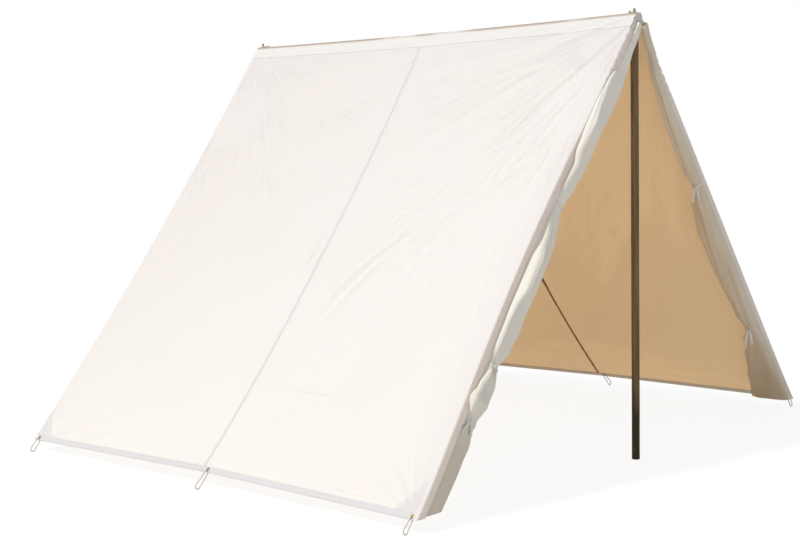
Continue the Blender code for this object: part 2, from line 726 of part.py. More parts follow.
def build_tie(name, side, tie_run, runs):
    """A tape round the gathered flap, joined to its knot and its two tails."""
    half = TIE_WIDTH / 2
    over = LAY_GAP + TAPE
    sunk = over - TAPE / 2
    first = KNOT_COLUMN[side]
    strap_rows = [(tie_run - half, LAY_GAP, over), (tie_run + half, LAY_GAP, over)]
    strap = solid(name, flap_strip(side, strap_rows, range(FLAP_SIDES - 1)), "tape")
    knot_rows = []
    for share in KNOT_SHARES:
        rise = over + KNOT_RISE * math.sin(math.pi * share)
        knot_rows.append((tie_run + TIE_WIDTH * (share - 0.5), sunk, rise))
    knot = helper(f"add_{name}_knot", flap_strip(side, knot_rows, range(first, first + KNOT_COLUMNS)))
    start = tie_run + TIE_GRIP / 2
    tail_rows = [(tie_run, sunk, sunk + TAPE)]
    tail_rows += [(run, TAIL_LIFT, TAIL_LIFT + TAPE) for run in runs
                  if start - EDGE_GAP < run < start + TAIL_LENGTH[side]]
    tails = [helper(f"add_{name}_tail_{column}", flap_strip(side, tail_rows, (column, column + 1)))
             for column in (first, first + 2)]
    for extra in (knot, *tails):
        join = strap.modifiers.new(extra.name, "BOOLEAN")
        join.operation = "UNION"
        join.solver = "EXACT"
        join.object = extra
    return strap


def helper(name, shape):
    """Hidden body that a modifier uses."""
    thing = solid(name, shape, "tape")
    thing.hide_render = True
    thing.display_type = "WIRE"
    return thing


def build_door(side):
    """Flap head fixed at the ridge, and the flap with its ties on the door hinge.

    The hinge is straight, and runs along the door seam where the seam stands furthest forwards.
    """
    name = SIDE_NAMES[side]
    head_runs = flap_runs(side, HEAD_TOP, HEAD_END, HEAD_STEP_COUNT)
    solid(f"{name}_flap_head", flap_body(side, head_runs), "canvas", smooth=True)
    runs = flap_runs(side, HEAD_END + HEAD_GAP, FLAP_END, FLAP_STEP_COUNT)
    pieces = [solid(f"{name}_door_flap", flap_body(side, runs), "canvas", smooth=True)]
    for level, drop_share in TIE_DROP_SHARES[side].items():
        pieces.append(build_tie(f"{name}_{level}_tie", side, drop_share * SLOPE_LENGTH, runs))
    hinge = bpy.data.objects.new(f"{name}_door_hinge", None)
    bpy.context.collection.objects.link(hinge)
    hinge.location = (side * HINGE_X, FACE_Y + min(0.0, FRONT_BOW[side]), HINGE_Z)
    hinge.rotation_euler = (0.0, side * (math.pi / 2 + OUT_ANGLE), 0.0)
    bpy.context.view_layer.update()
    for piece in pieces:
        piece.parent = hinge
        piece.matrix_parent_inverse = hinge.matrix_world.inverted()


def hole_places(side):
    """Places of a slope's three hem grommets."""
    inset = CORNER_HOLE_INSET / CANVAS_LENGTH
    beside_seam = SEAM_HOLE_INSET / CANVAS_LENGTH
    return {"front": hem_hole(side, inset), "seam": hem_hole(side, 0.5 - beside_seam),
            "rear": hem_hole(side, 1 - inset)}


def build_hem_fittings(side, places):
    """Grommets and peg loops along one slope's hem."""
    band_stack = CLOTH + LAY_GAP + TAPE
    for end, place in places.items():
        name = f"{SIDE_NAMES[side]}_{end}"
        stack = band_stack if end == "seam" else band_stack + LAY_GAP + TAPE
        settle = HEM_LOOP_SETTLE["hem" if end == "seam" else "corner"]
        spool = grommet(place, HEM_HOLE_RADIUS, BARREL_RADIUS["hem"], stack)
        solid(f"{name}_hem_grommet", spool, "brass", smooth=True)
        middle = place @ Matrix.Translation((0.0, 0.0, -stack / 2))
        cord_ring(f"{name}_peg_loop", hem_ring(middle, settle), HEM_CORD_RADIUS)


def build_rear_fittings(place):
    """Grommet and peg loop in the middle of the rear hem."""
    stack = CLOTH + LAY_GAP + TAPE
    solid("rear_hem_grommet", grommet(place, HEM_HOLE_RADIUS, BARREL_RADIUS["hem"], stack), "brass",
          smooth=True)
    middle = place @ Matrix.Translation((0.0, 0.0, -stack / 2))
    cord_ring("rear_peg_loop", hem_ring(middle, HEM_LOOP_SETTLE["hem"]), HEM_CORD_RADIUS)


def build_ridge_fittings():
    """Grommet round each pin where it comes through the cloth, with a cord loop on it."""
    face = RIDGE_HEIGHT + LAY_GAP + TAPE
    small = PIN_RADIUS + EDGE_GAP + RIDGE_CORD_RADIUS
    cord_z = face + EDGE_GAP + FLANGE + EDGE_GAP + RIDGE_CORD_RADIUS
    for end, y in UPRIGHT_Y.items():
        place = Matrix.Translation((0.0, y, face))
        stack = face - POLE_TOP - EDGE_GAP
        spool = grommet(place, RIDGE_HOLE_RADIUS, BARREL_RADIUS["ridge"], stack, lower_flange=False)
        solid(f"{end}_ridge_grommet", spool, "brass", smooth=True)
        inwards = 1 if end == "front" else -1
        route = belt_points(small, small, RIDGE_LOOP_REACH[end])
        ring = [Vector((across, y + inwards * reach, cord_z)) for reach, across in route]
        cord_ring(f"{end}_ridge_loop", ring, RIDGE_CORD_RADIUS)


def build_canvas():
    """All of the canvas, with its grommets and cord loops."""
    hem_cut = BARREL_RADIUS["hem"] + EDGE_GAP
    ridge_cut = BARREL_RADIUS["ridge"] + EDGE_GAP
    ridge_cutters = {}
    for end, y in UPRIGHT_Y.items():
        place = Matrix.Translation((0.0, y, RIDGE_HEIGHT))
        ridge_cutters[end] = cutter(f"cut_{end}_ridge_hole", place, ridge_cut, POLE_ROUND)
    for side in (LEFT, RIGHT):
        places = hole_places(side)
        cutters = {end: cutter(f"cut_{SIDE_NAMES[side]}_{end}_hem_hole", place, hem_cut, HEM_BAND_WIDTH)
                   for end, place in places.items()}
        build_slopes(side, cutters, ridge_cutters)
        build_facing(side)
        build_door(side)
        build_hem_fittings(side, places)
    build_ridge_band(ridge_cutters)
    place = rear_hole()
    build_rear_wall(cutter("cut_rear_hem_hole", place, hem_cut, HEM_BAND_WIDTH))
    build_rear_fittings(place)
    build_ridge_fittings()


clear_scene()
build_frame()
build_canvas()
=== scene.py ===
"""Looks of a wedge tent: canvas, tapes, cords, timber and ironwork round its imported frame.

Metres, +Z up. The origin is the middle of the front upright's foot, on the ground. X runs
across the tent, with the left slope at -X as seen from the front, and Y runs to the rear.
"""
from __future__ import annotations

import logging
import math
from contextlib import contextmanager
from dataclasses import dataclass
from enum import Enum
from typing import Callable, Iterator, Sequence

import bpy
import numpy as np
from mathutils import Matrix, Vector

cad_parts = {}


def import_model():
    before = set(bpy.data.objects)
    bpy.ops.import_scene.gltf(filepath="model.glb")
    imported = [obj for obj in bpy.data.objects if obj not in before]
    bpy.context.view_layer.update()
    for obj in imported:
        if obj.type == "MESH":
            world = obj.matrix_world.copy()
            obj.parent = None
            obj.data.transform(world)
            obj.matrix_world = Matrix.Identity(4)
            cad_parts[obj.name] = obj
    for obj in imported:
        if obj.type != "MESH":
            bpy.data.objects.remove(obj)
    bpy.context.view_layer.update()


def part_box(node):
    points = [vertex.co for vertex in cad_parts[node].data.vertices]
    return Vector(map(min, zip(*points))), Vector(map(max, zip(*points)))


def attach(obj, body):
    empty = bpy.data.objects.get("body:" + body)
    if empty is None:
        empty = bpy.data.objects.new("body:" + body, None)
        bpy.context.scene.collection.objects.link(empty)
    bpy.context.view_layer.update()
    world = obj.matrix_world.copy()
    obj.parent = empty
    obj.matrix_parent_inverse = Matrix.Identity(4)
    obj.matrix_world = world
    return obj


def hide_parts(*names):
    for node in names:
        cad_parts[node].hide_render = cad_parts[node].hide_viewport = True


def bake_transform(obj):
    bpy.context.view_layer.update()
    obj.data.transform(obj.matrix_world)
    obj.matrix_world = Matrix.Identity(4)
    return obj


Array = np.ndarray
Colour = tuple[float, float, float]
Place = tuple[float, float]
Point = tuple[float, float, float]
Faces = tuple[int, int]
Laid = tuple[Array, Array]
Rule = Callable[[Array, Array], Laid]
Piece = bpy.types.Object

log = logging.getLogger("wedge_tent")

CHART = "cloth"
TURN = 2 * math.pi


class Side(Enum):
    """A half of the tent, as seen from the front."""

    LEFT = -1
    RIGHT = 1

    @property
    def word(self) -> str:
        """Name of this side in the names of pieces."""
        return self.name.lower()


class End(Enum):
    """An end of the ridge."""

    FRONT = "front"
    REAR = "rear"


class Look(Enum):
    """Names of the finishes."""

    CANVAS = "canvas_outside"
    # Inside of the canvas, tinted tan: painted glow of the light that comes through the cloth.
    LINING = "canvas_inside"
    # Sewn bands in dark brown: painted shade of layered cloth held against the light.
    BAND = "sewn_band_cloth"
    DOUBLE = "doubled_canvas"
    DOOR = "door_canvas"
    SHADED_DOOR = "shaded_door_canvas"
    TAPE = "cotton_tape"
    CORD = "twisted_cord"
    TIMBER = "dark_timber"
    STEEL = "dull_steel"
    BRASS = "dull_brass"
    GROUND = "pale_ground"


def eased(share: Array) -> Array:
    """Smooth step from 0 to 1, held at its ends."""
    held = np.clip(share, 0.0, 1.0)
    return held * held * (3 - 2 * held)


def ramp(share: Array, stops: Sequence[Place]) -> Array:
    """Result for each value, in straight runs between stops, which are pairs of a value and its result."""
    return np.interp(share, *zip(*stops))


def stacked(*columns: Array) -> Array:
    """Points, one in each row, from their parts."""
    return np.stack(columns, axis=1)


class Wire:
    """One output of a shader node, which can be written in sums."""

    def __init__(self, graph: Graph, socket: bpy.types.NodeSocket) -> None:
        """Keep the output's socket, and the graph that its node is in."""
        self.graph = graph
        self.socket = socket

    def __add__(self, other: Wire | float) -> Wire:
        """Sum."""
        return self.graph.math("ADD", self, other)

    def __radd__(self, other: float) -> Wire:
        """Sum with a number in front."""
        return self.graph.math("ADD", other, self)

    def __sub__(self, other: Wire | float) -> Wire:
        """Difference."""
        return self.graph.math("SUBTRACT", self, other)

    def __rsub__(self, other: float) -> Wire:
        """Difference from a number."""
        return self.graph.math("SUBTRACT", other, self)

    def __mul__(self, other: Wire | float) -> Wire:
        """Product."""
        return self.graph.math("MULTIPLY", self, other)

    def __rmul__(self, other: float) -> Wire:
        """Product with a number in front."""
        return self.graph.math("MULTIPLY", other, self)

    def __truediv__(self, other: Wire | float) -> Wire:
        """Quotient."""
        return self.graph.math("DIVIDE", self, other)

    def __pow__(self, other: float) -> Wire:
        """Power."""
        return self.graph.math("POWER", self, other)


class Graph:
    """Node tree of one material, or of the world."""

    def __init__(self, owner: bpy.types.Material | bpy.types.World) -> None:
        """Start an empty tree.

        Args:
            owner: the material or the world.
        """
        self.owner = owner
        owner.use_nodes = True
        self.tree = owner.node_tree
        self.tree.nodes.clear()

    def node(self, kind: str, settings: dict | None = None, inputs: dict | None = None,
             output: int | str = 0) -> Wire:
        """Add a node.

        Args:
            kind: the node's type, without its first words.
            settings: its properties, set first.
            inputs: values or wires by the input's name or number.
            output: name or number of the output that is wanted.

        Returns:
            That output.
        """
        made = self.tree.nodes.new(f"ShaderNode{kind}")
        for key, value in (settings or {}).items():
            setattr(made, key, value)
        for key, value in (inputs or {}).items():
            self._feed(made.inputs[key], value)
        return Wire(self, made.outputs[output])

    def _feed(self, socket: bpy.types.NodeSocket, value: Wire | float | Sequence[float]) -> None:
        """Link a wire to an input, or set its value.

        Args:
            socket: the input.
            value: the wire or the value.
        """
        if isinstance(value, Wire):
            self.tree.links.new(value.socket, socket)
        elif socket.type == "RGBA":
            socket.default_value = (*value, 1.0)
        else:
            socket.default_value = value

    def math(self, operation: str, *values: Wire | float) -> Wire:
        """Result of a Math node."""
        return self.node("Math", {"operation": operation}, dict(enumerate(values)))

    def mix(self, factor: Wire | float, first: Wire | Colour, second: Wire | Colour) -> Wire:
        """Blend of two colours, with the factor as the second one's share."""
        return self.node("Mix", {"data_type": "RGBA"}, {0: factor, 6: first, 7: second}, 2)

    def blended(self, factor: Wire | float, first: Wire, second: Wire) -> Wire:
        """Blend of two shaders, with the factor as the second one's share."""
        return self.node("MixShader", {}, {0: factor, 1: first, 2: second})

    def noise(self, vector: Wire, scale: float, detail: float = 3.0) -> Wire:
        """Noise around 0.5, with this many features in a metre."""
        return self.node("TexNoise", {}, {"Vector": vector, "Scale": scale, "Detail": detail})

    def span(self, value: Wire, low: float, high: float) -> Wire:
        """Smooth step of a value from 0 at low to 1 at high."""
        return self.node("MapRange", {"interpolation_type": "SMOOTHSTEP"},
                         {"Value": value, "From Min": low, "From Max": high})

    def stretched(self, vector: Wire, scale: Sequence[float]) -> Wire:
        """Coordinates scaled unlike along their axes."""
        return self.node("Mapping", {}, {"Vector": vector, "Scale": scale})

    def place(self) -> Wire:
        """Place in the object, in metres."""
        return self.node("TexCoord", output="Object")

    def chart(self) -> Wire:
        """Place on the cloth, in metres."""
        return self.node("UVMap", {"uv_map": CHART})

    def parts(self, vector: Wire) -> tuple[Wire, ...]:
        """The three parts of a vector."""
        made = self.node("SeparateXYZ", {}, {"Vector": vector})
        return tuple(Wire(self, output) for output in made.socket.node.outputs)

    def bump(self, height: Wire, distance: float, under: Wire | None = None) -> Wire:
        """Normal of a height pattern, over another normal if there is one."""
        below = {} if under is None else {"Normal": under}
        return self.node("Bump", {}, {"Height": height, "Distance": distance, "Strength": 1.0, **below})

    def surface(self, **inputs: Wire | float | Sequence[float]) -> Wire:
        """Principled shader, with the inputs' names written with underscores."""
        named = {key.replace("_", " "): value for key, value in inputs.items()}
        return self.node("BsdfPrincipled", {}, named)

    def foot(self, height: Wire, wander: Wire, top: float) -> Wire:
        """Mask of what stands near the ground, up to an uneven edge."""
        return 1.0 - self.span(height + wander * 0.12, top * 0.6, top)

    def seen_directly(self) -> Wire:
        """Mask of the camera, glossy and transmission rays, which see a backdrop."""
        camera = self.node("LightPath", output="Is Camera Ray")
        glossy, through = (Wire(self, camera.socket.node.outputs[f"Is {kind} Ray"])
                           for kind in ("Glossy", "Transmission"))
        return self.math("MAXIMUM", self.math("MAXIMUM", camera, glossy), through)

    def close(self, shader: Wire) -> None:
        """Link the last shader to the output."""
        kind = "World" if isinstance(self.owner, bpy.types.World) else "Material"
        self._feed(self.tree.nodes.new(f"ShaderNodeOutput{kind}").inputs["Surface"], shader)


@dataclass(frozen=True)
class Finish:
    """A look, whose nodes each kind of material lays out in its own way."""

    def build(self, name: str) -> bpy.types.Material:
        """Make the material.

        Args:
            name: its name.

        Returns:
            The material.
        """
        material = bpy.data.materials.new(name)
        graph = Graph(material)
        graph.close(self.shader(graph))
        return material

    def shader(self, graph: Graph) -> Wire:
        """Lay out the nodes in the material's graph, and give the last shader."""
        raise NotImplementedError


@dataclass(frozen=True)
class ClothFinish(Finish):
    """Woven cotton: two threads, slubs, faint soil, stitch rows and light that comes through; where asked
    for, a darker foot of dirt and painted shade, and a painted shade line along the ridge crest.
    """

    colour: Colour
    shade: Colour
    # Soil colour: for the random mottle, and towards the ground also painted shade.
    soil: Colour
    glow: Colour
    glow_share: float
    pitch: float = 0.0014
    thread_rise: float = 0.00012
    slub_share: float = 0.35
    soil_share: float = 0.25
    rows_across: tuple[float, ...] = ()
    rows_along: tuple[float, ...] = ()
    stitch_pitch: float = 0.004
    stitch_width: float = 0.0011
    stitch_tint: Colour = (0.62, 0.56, 0.46)
    stitch_share: float = 0.35
    # Share of the soil colour towards the ground: dirt, and painted shade of a shaded flap foot.
    foot_share: float = 0.0
    foot_height: float = 0.50
    # A patchy dark brown line this far down the cloth: painted shade along the ridge crest.
    shade_line_at: float = 0.0
    shade_line_width: float = 0.036
    shade_line_tint: Colour = (0.36, 0.25, 0.19)
    crease_rise: float = 0.0
    crease_from: Place = (1.29, 2.63)
    crease_count: float = 26.0

    def shader(self, graph: Graph) -> Wire:
        """Lay out the nodes.

        Args:
            graph: the material's graph.

        Returns:
            The last shader.
        """
        chart = graph.chart()
        across, down, _ = graph.parts(chart)
        warp = graph.math("SINE", across * (TURN / self.pitch))
        weft = graph.math("SINE", down * (TURN / self.pitch))
        weave = warp * weft * 0.5 + 0.5
        slub, slub_back = (graph.noise(graph.stretched(chart, scale), 1.0)
                           for scale in ((420.0, 12.0, 1.0), (12.0, 420.0, 1.0)))
        slubs = graph.span(slub + slub_back, 0.8, 1.3)
        mottle = graph.span(graph.noise(graph.place(), 2.3, 4.0), 0.35, 0.75)
        threads = graph.mix(slubs * self.slub_share, self.colour, self.shade)
        tone = graph.mix(mottle * self.soil_share, threads, self.soil)
        # Darker towards the ground, in the soil colour: dirt, and painted shade of the flap's shaded foot.
        if self.foot_share:
            foot = graph.foot(graph.parts(graph.place())[2], mottle, self.foot_height)
            tone = graph.mix(foot * self.foot_share, tone, self.soil)
        # Painted shade: a patchy dark brown line along the ridge crest.
        if self.shade_line_at:
            off = graph.math("ABSOLUTE", down - self.shade_line_at)
            wear_and_shade = 1.0 - graph.span(off, self.shade_line_width * 0.6, self.shade_line_width)
            patchy = graph.span(graph.noise(graph.place(), 2.2, 4.0), 0.28, 0.50)
            tone = graph.mix(wear_and_shade * patchy * 0.9, tone, self.shade_line_tint)
        stitches = self._stitches(graph, across, down)
        height = weave + slubs * 0.5
        if stitches is not None:
            tone = graph.mix(stitches * self.stitch_share, tone, self.stitch_tint)
            height = height - stitches * 3.0
        normal = graph.bump(height, self.thread_rise)
        if self.crease_rise:
            normal = graph.bump(self._streaks(graph, across, down), self.crease_rise, normal)
        rough = graph.span(slubs, 0.0, 1.0) * 0.06 + 0.88
        cloth = graph.surface(Base_Color=tone, Roughness=rough, Normal=normal,
                              Specular_IOR_Level=0.15, Sheen_Weight=0.12, Sheen_Roughness=0.6)
        through = graph.node("BsdfTranslucent", {}, {"Color": self.glow, "Normal": normal})
        return graph.blended(self.glow_share, cloth, through)

    def _streaks(self, graph: Graph, across: Wire, down: Wire) -> Wire:
        """Fine drawn creases that spread from the cloth's upper outer corner.

        Args:
            graph: the material's graph.
            across: distance across the cloth.
            down: distance along the cloth.

        Returns:
            Their height, from 0 to 1.
        """
        aside = self.crease_from[0] - across
        below = self.crease_from[1] - down
        away = (aside * aside + below * below) ** 0.5
        turn = graph.math("ARCTAN2", aside, below)
        wander = graph.noise(graph.chart(), 2.6)
        where = graph.node("CombineXYZ", {}, {0: turn * self.crease_count + wander * 5.0, 1: away * 1.7})
        drawn = graph.noise(where, 1.0, 2.0)
        ridged = 1.0 - graph.span(graph.math("ABSOLUTE", drawn - 0.5), 0.0, 0.13)
        held = graph.span(away, 0.05, 0.5) * (1.0 - graph.span(away, 1.1, 2.1))
        return ridged * held * graph.span(wander, 0.38, 0.62)

    def _stitches(self, graph: Graph, across: Wire, down: Wire) -> Wire | None:
        """Rows of stitches.

        Args:
            graph: the material's graph.
            across: distance across the cloth.
            down: distance along the cloth.

        Returns:
            Mask that is 1 on a stitch, or None where there are no rows.
        """
        found = None
        for rows, beside, forward in ((self.rows_across, across, down), (self.rows_along, down, across)):
            for row in rows:
                away = graph.math("ABSOLUTE", beside - row)
                line = 1.0 - graph.span(away, self.stitch_width * 0.4, self.stitch_width)
                step = graph.math("FRACT", forward / self.stitch_pitch)
                dash = graph.span(graph.math("ABSOLUTE", step - 0.5), 0.42, 0.34)
                stitch = line * dash
                found = stitch if found is None else graph.math("MAXIMUM", found, stitch)
        return found


@dataclass(frozen=True)
class CordFinish(Finish):
    """Twisted natural cord, with paler raised strands and loose fibres."""

    colour: Colour
    shade: Colour
    fibre_rise: float = 0.0002

    def shader(self, graph: Graph) -> Wire:
        """Lay out the nodes.

        Args:
            graph: the material's graph.

        Returns:
            The last shader.
        """
        chart = graph.chart()
        fibre = graph.noise(graph.stretched(chart, (900.0, 300.0, 1.0)), 1.0, 4.0)
        patch = graph.noise(graph.place(), 60.0)
        tone = graph.mix(graph.span(fibre * 0.7 + patch * 0.3, 0.35, 0.7), self.shade, self.colour)
        return graph.surface(Base_Color=tone, Roughness=0.92, Specular_IOR_Level=0.15,
                             Normal=graph.bump(fibre, self.fibre_rise))


@dataclass(frozen=True)
class TimberFinish(Finish):
    """Dark oiled pole: long grain, reddish edges of the rings and an earthy foot."""

    heart: Colour
    sap: Colour
    earth: Colour
    foot_height: float = 0.42
    foot_share: float = 0.85
    grain_along: Point = (55.0, 55.0, 2.2)
    pores_along: Point = (420.0, 420.0, 14.0)
    grain_rise: float = 0.0004

    def shader(self, graph: Graph) -> Wire:
        """Lay out the nodes.

        Args:
            graph: the material's graph.

        Returns:
            The last shader.
        """
        place = graph.place()
        grain = graph.noise(graph.stretched(place, self.grain_along), 1.0, 5.0)
        pores = graph.noise(graph.stretched(place, self.pores_along), 1.0, 2.0)
        wood = graph.mix(graph.span(grain, 0.36, 0.64), self.heart, self.sap)
        wear_and_shade = graph.noise(place, 9.0)
        foot = graph.foot(graph.parts(place)[2], wear_and_shade, self.foot_height)
        tone = graph.mix(foot * self.foot_share, wood, self.earth)
        streak = graph.span(pores, 0.55, 0.7)
        dark = graph.mix(streak * 0.5, tone, self.earth)
        rough = graph.span(grain, 0.3, 0.7) * 0.15 + 0.66
        normal = graph.bump(grain + pores * 0.4, self.grain_rise)
        return graph.surface(Base_Color=dark, Roughness=rough, Normal=normal, Specular_IOR_Level=0.16)


@dataclass(frozen=True)
class MetalFinish(Finish):
    """Dull metal with handling marks and darker tarnish."""

    colour: Colour
    tarnish: Colour
    roughness: float
    mark_rise: float = 0.00015

    def shader(self, graph: Graph) -> Wire:
        """Lay out the nodes.

        Args:
            graph: the material's graph.

        Returns:
            The last shader.
        """
        place = graph.place()
        cloud = graph.span(graph.noise(place, 70.0, 5.0), 0.4, 0.68)
        marks = graph.noise(graph.stretched(place, (900.0, 900.0, 120.0)), 1.0)
        tone = graph.mix(cloud, self.colour, self.tarnish)
        rough = cloud * 0.25 + self.roughness
        return graph.surface(Base_Color=tone, Metallic=1.0 - cloud * 0.35, Roughness=rough,
                             Normal=graph.bump(marks, self.mark_rise))


@dataclass(frozen=True)
class GroundFinish(Finish):
    """Pale ground that a camera sees as white, with the tent's shadow left faint."""

    colour: Colour = (0.80, 0.80, 0.79)
    white_share: float = 0.86
    white_strength: float = 1.04

    def shader(self, graph: Graph) -> Wire:
        """Lay out the nodes.

        Args:
            graph: the material's graph.

        Returns:
            The last shader.
        """
        matt = graph.node("BsdfDiffuse", {}, {"Color": self.colour})
        white = graph.node("Emission", {}, {"Color": (1.0, 1.0, 1.0), "Strength": self.white_strength})
        return graph.blended(graph.seen_directly() * self.white_share, matt, white)


class Wardrobe:
    """All finishes, each made the first time that it is asked for."""

    RECIPES = {
        Look.CANVAS: ClothFinish((0.845, 0.888, 0.927), (0.805, 0.84, 0.87), (0.82, 0.84, 0.85),
                                 (0.95, 0.89, 0.79), 0.34, rows_across=(0.006, 0.0075),
                                 rows_along=(0.004, 0.026), crease_rise=0.0020, stitch_share=0.2),
        # The band over the ridge carries a painted shade line along its crest.
        Look.DOUBLE: ClothFinish((0.852, 0.85, 0.852), (0.825, 0.82, 0.815), (0.83, 0.82, 0.80),
                                 (0.95, 0.89, 0.79), 0.34, shade_line_at=0.095),
        # Its tan base colour is painted glow of light through the canvas.
        Look.LINING: ClothFinish((0.88, 0.665, 0.425), (0.82, 0.60, 0.37), (0.83, 0.62, 0.40),
                                 (0.98, 0.80, 0.575), 0.70, rows_across=(0.006,), rows_along=(0.026,)),
        # Dark brown: painted shade of layered cloth held against the light.
        Look.BAND: ClothFinish((0.42, 0.245, 0.14), (0.34, 0.18, 0.10), (0.32, 0.20, 0.12),
                               (0.50, 0.22, 0.10), 0.20, rows_along=(0.003,)),
        # The door canvas darkens towards the ground: dirt, and painted shade of the flap's shaded foot.
        Look.DOOR: ClothFinish((0.89, 0.86, 0.79), (0.82, 0.77, 0.68), (0.68, 0.62, 0.51), (0.92, 0.73, 0.50),
                               0.10, foot_share=0.8, rows_across=(0.006,), rows_along=(0.010,)),
        Look.SHADED_DOOR: ClothFinish((0.85, 0.775, 0.645), (0.76, 0.66, 0.52), (0.70, 0.60, 0.46),
                                      (0.90, 0.70, 0.46), 0.22, slub_share=0.5, soil_share=0.5,
                                      rows_across=(0.006,), rows_along=(0.010,)),
        Look.TAPE: ClothFinish((0.84, 0.81, 0.76), (0.72, 0.68, 0.62), (0.74, 0.68, 0.58), (0.70, 0.60, 0.46),
                               0.10, pitch=0.0011),
        Look.CORD: CordFinish((0.78, 0.73, 0.64), (0.50, 0.43, 0.33)),
        Look.TIMBER: TimberFinish((0.125, 0.080, 0.045), (0.205, 0.145, 0.085), (0.030, 0.029, 0.017)),
        Look.STEEL: MetalFinish((0.34, 0.32, 0.30), (0.12, 0.085, 0.065), 0.42),
        Look.BRASS: MetalFinish((0.58, 0.43, 0.20), (0.20, 0.15, 0.08), 0.34),
        Look.GROUND: GroundFinish(),
    }

    def __init__(self) -> None:
        """Start with no finish made."""
        self.made: dict[Look, bpy.types.Material] = {}

    def dress(self, piece: Piece, *looks: Look) -> Piece:
        """Give a piece its finishes, in the order of its material slots.

        Args:
            piece: the piece.
            looks: its finishes.

        Returns:
            The piece.
        """
        piece.data.materials.clear()
        for look in looks:
            if look not in self.made:
                self.made[look] = self.RECIPES[look].build(look.value)
            piece.data.materials.append(self.made[look])
        return piece


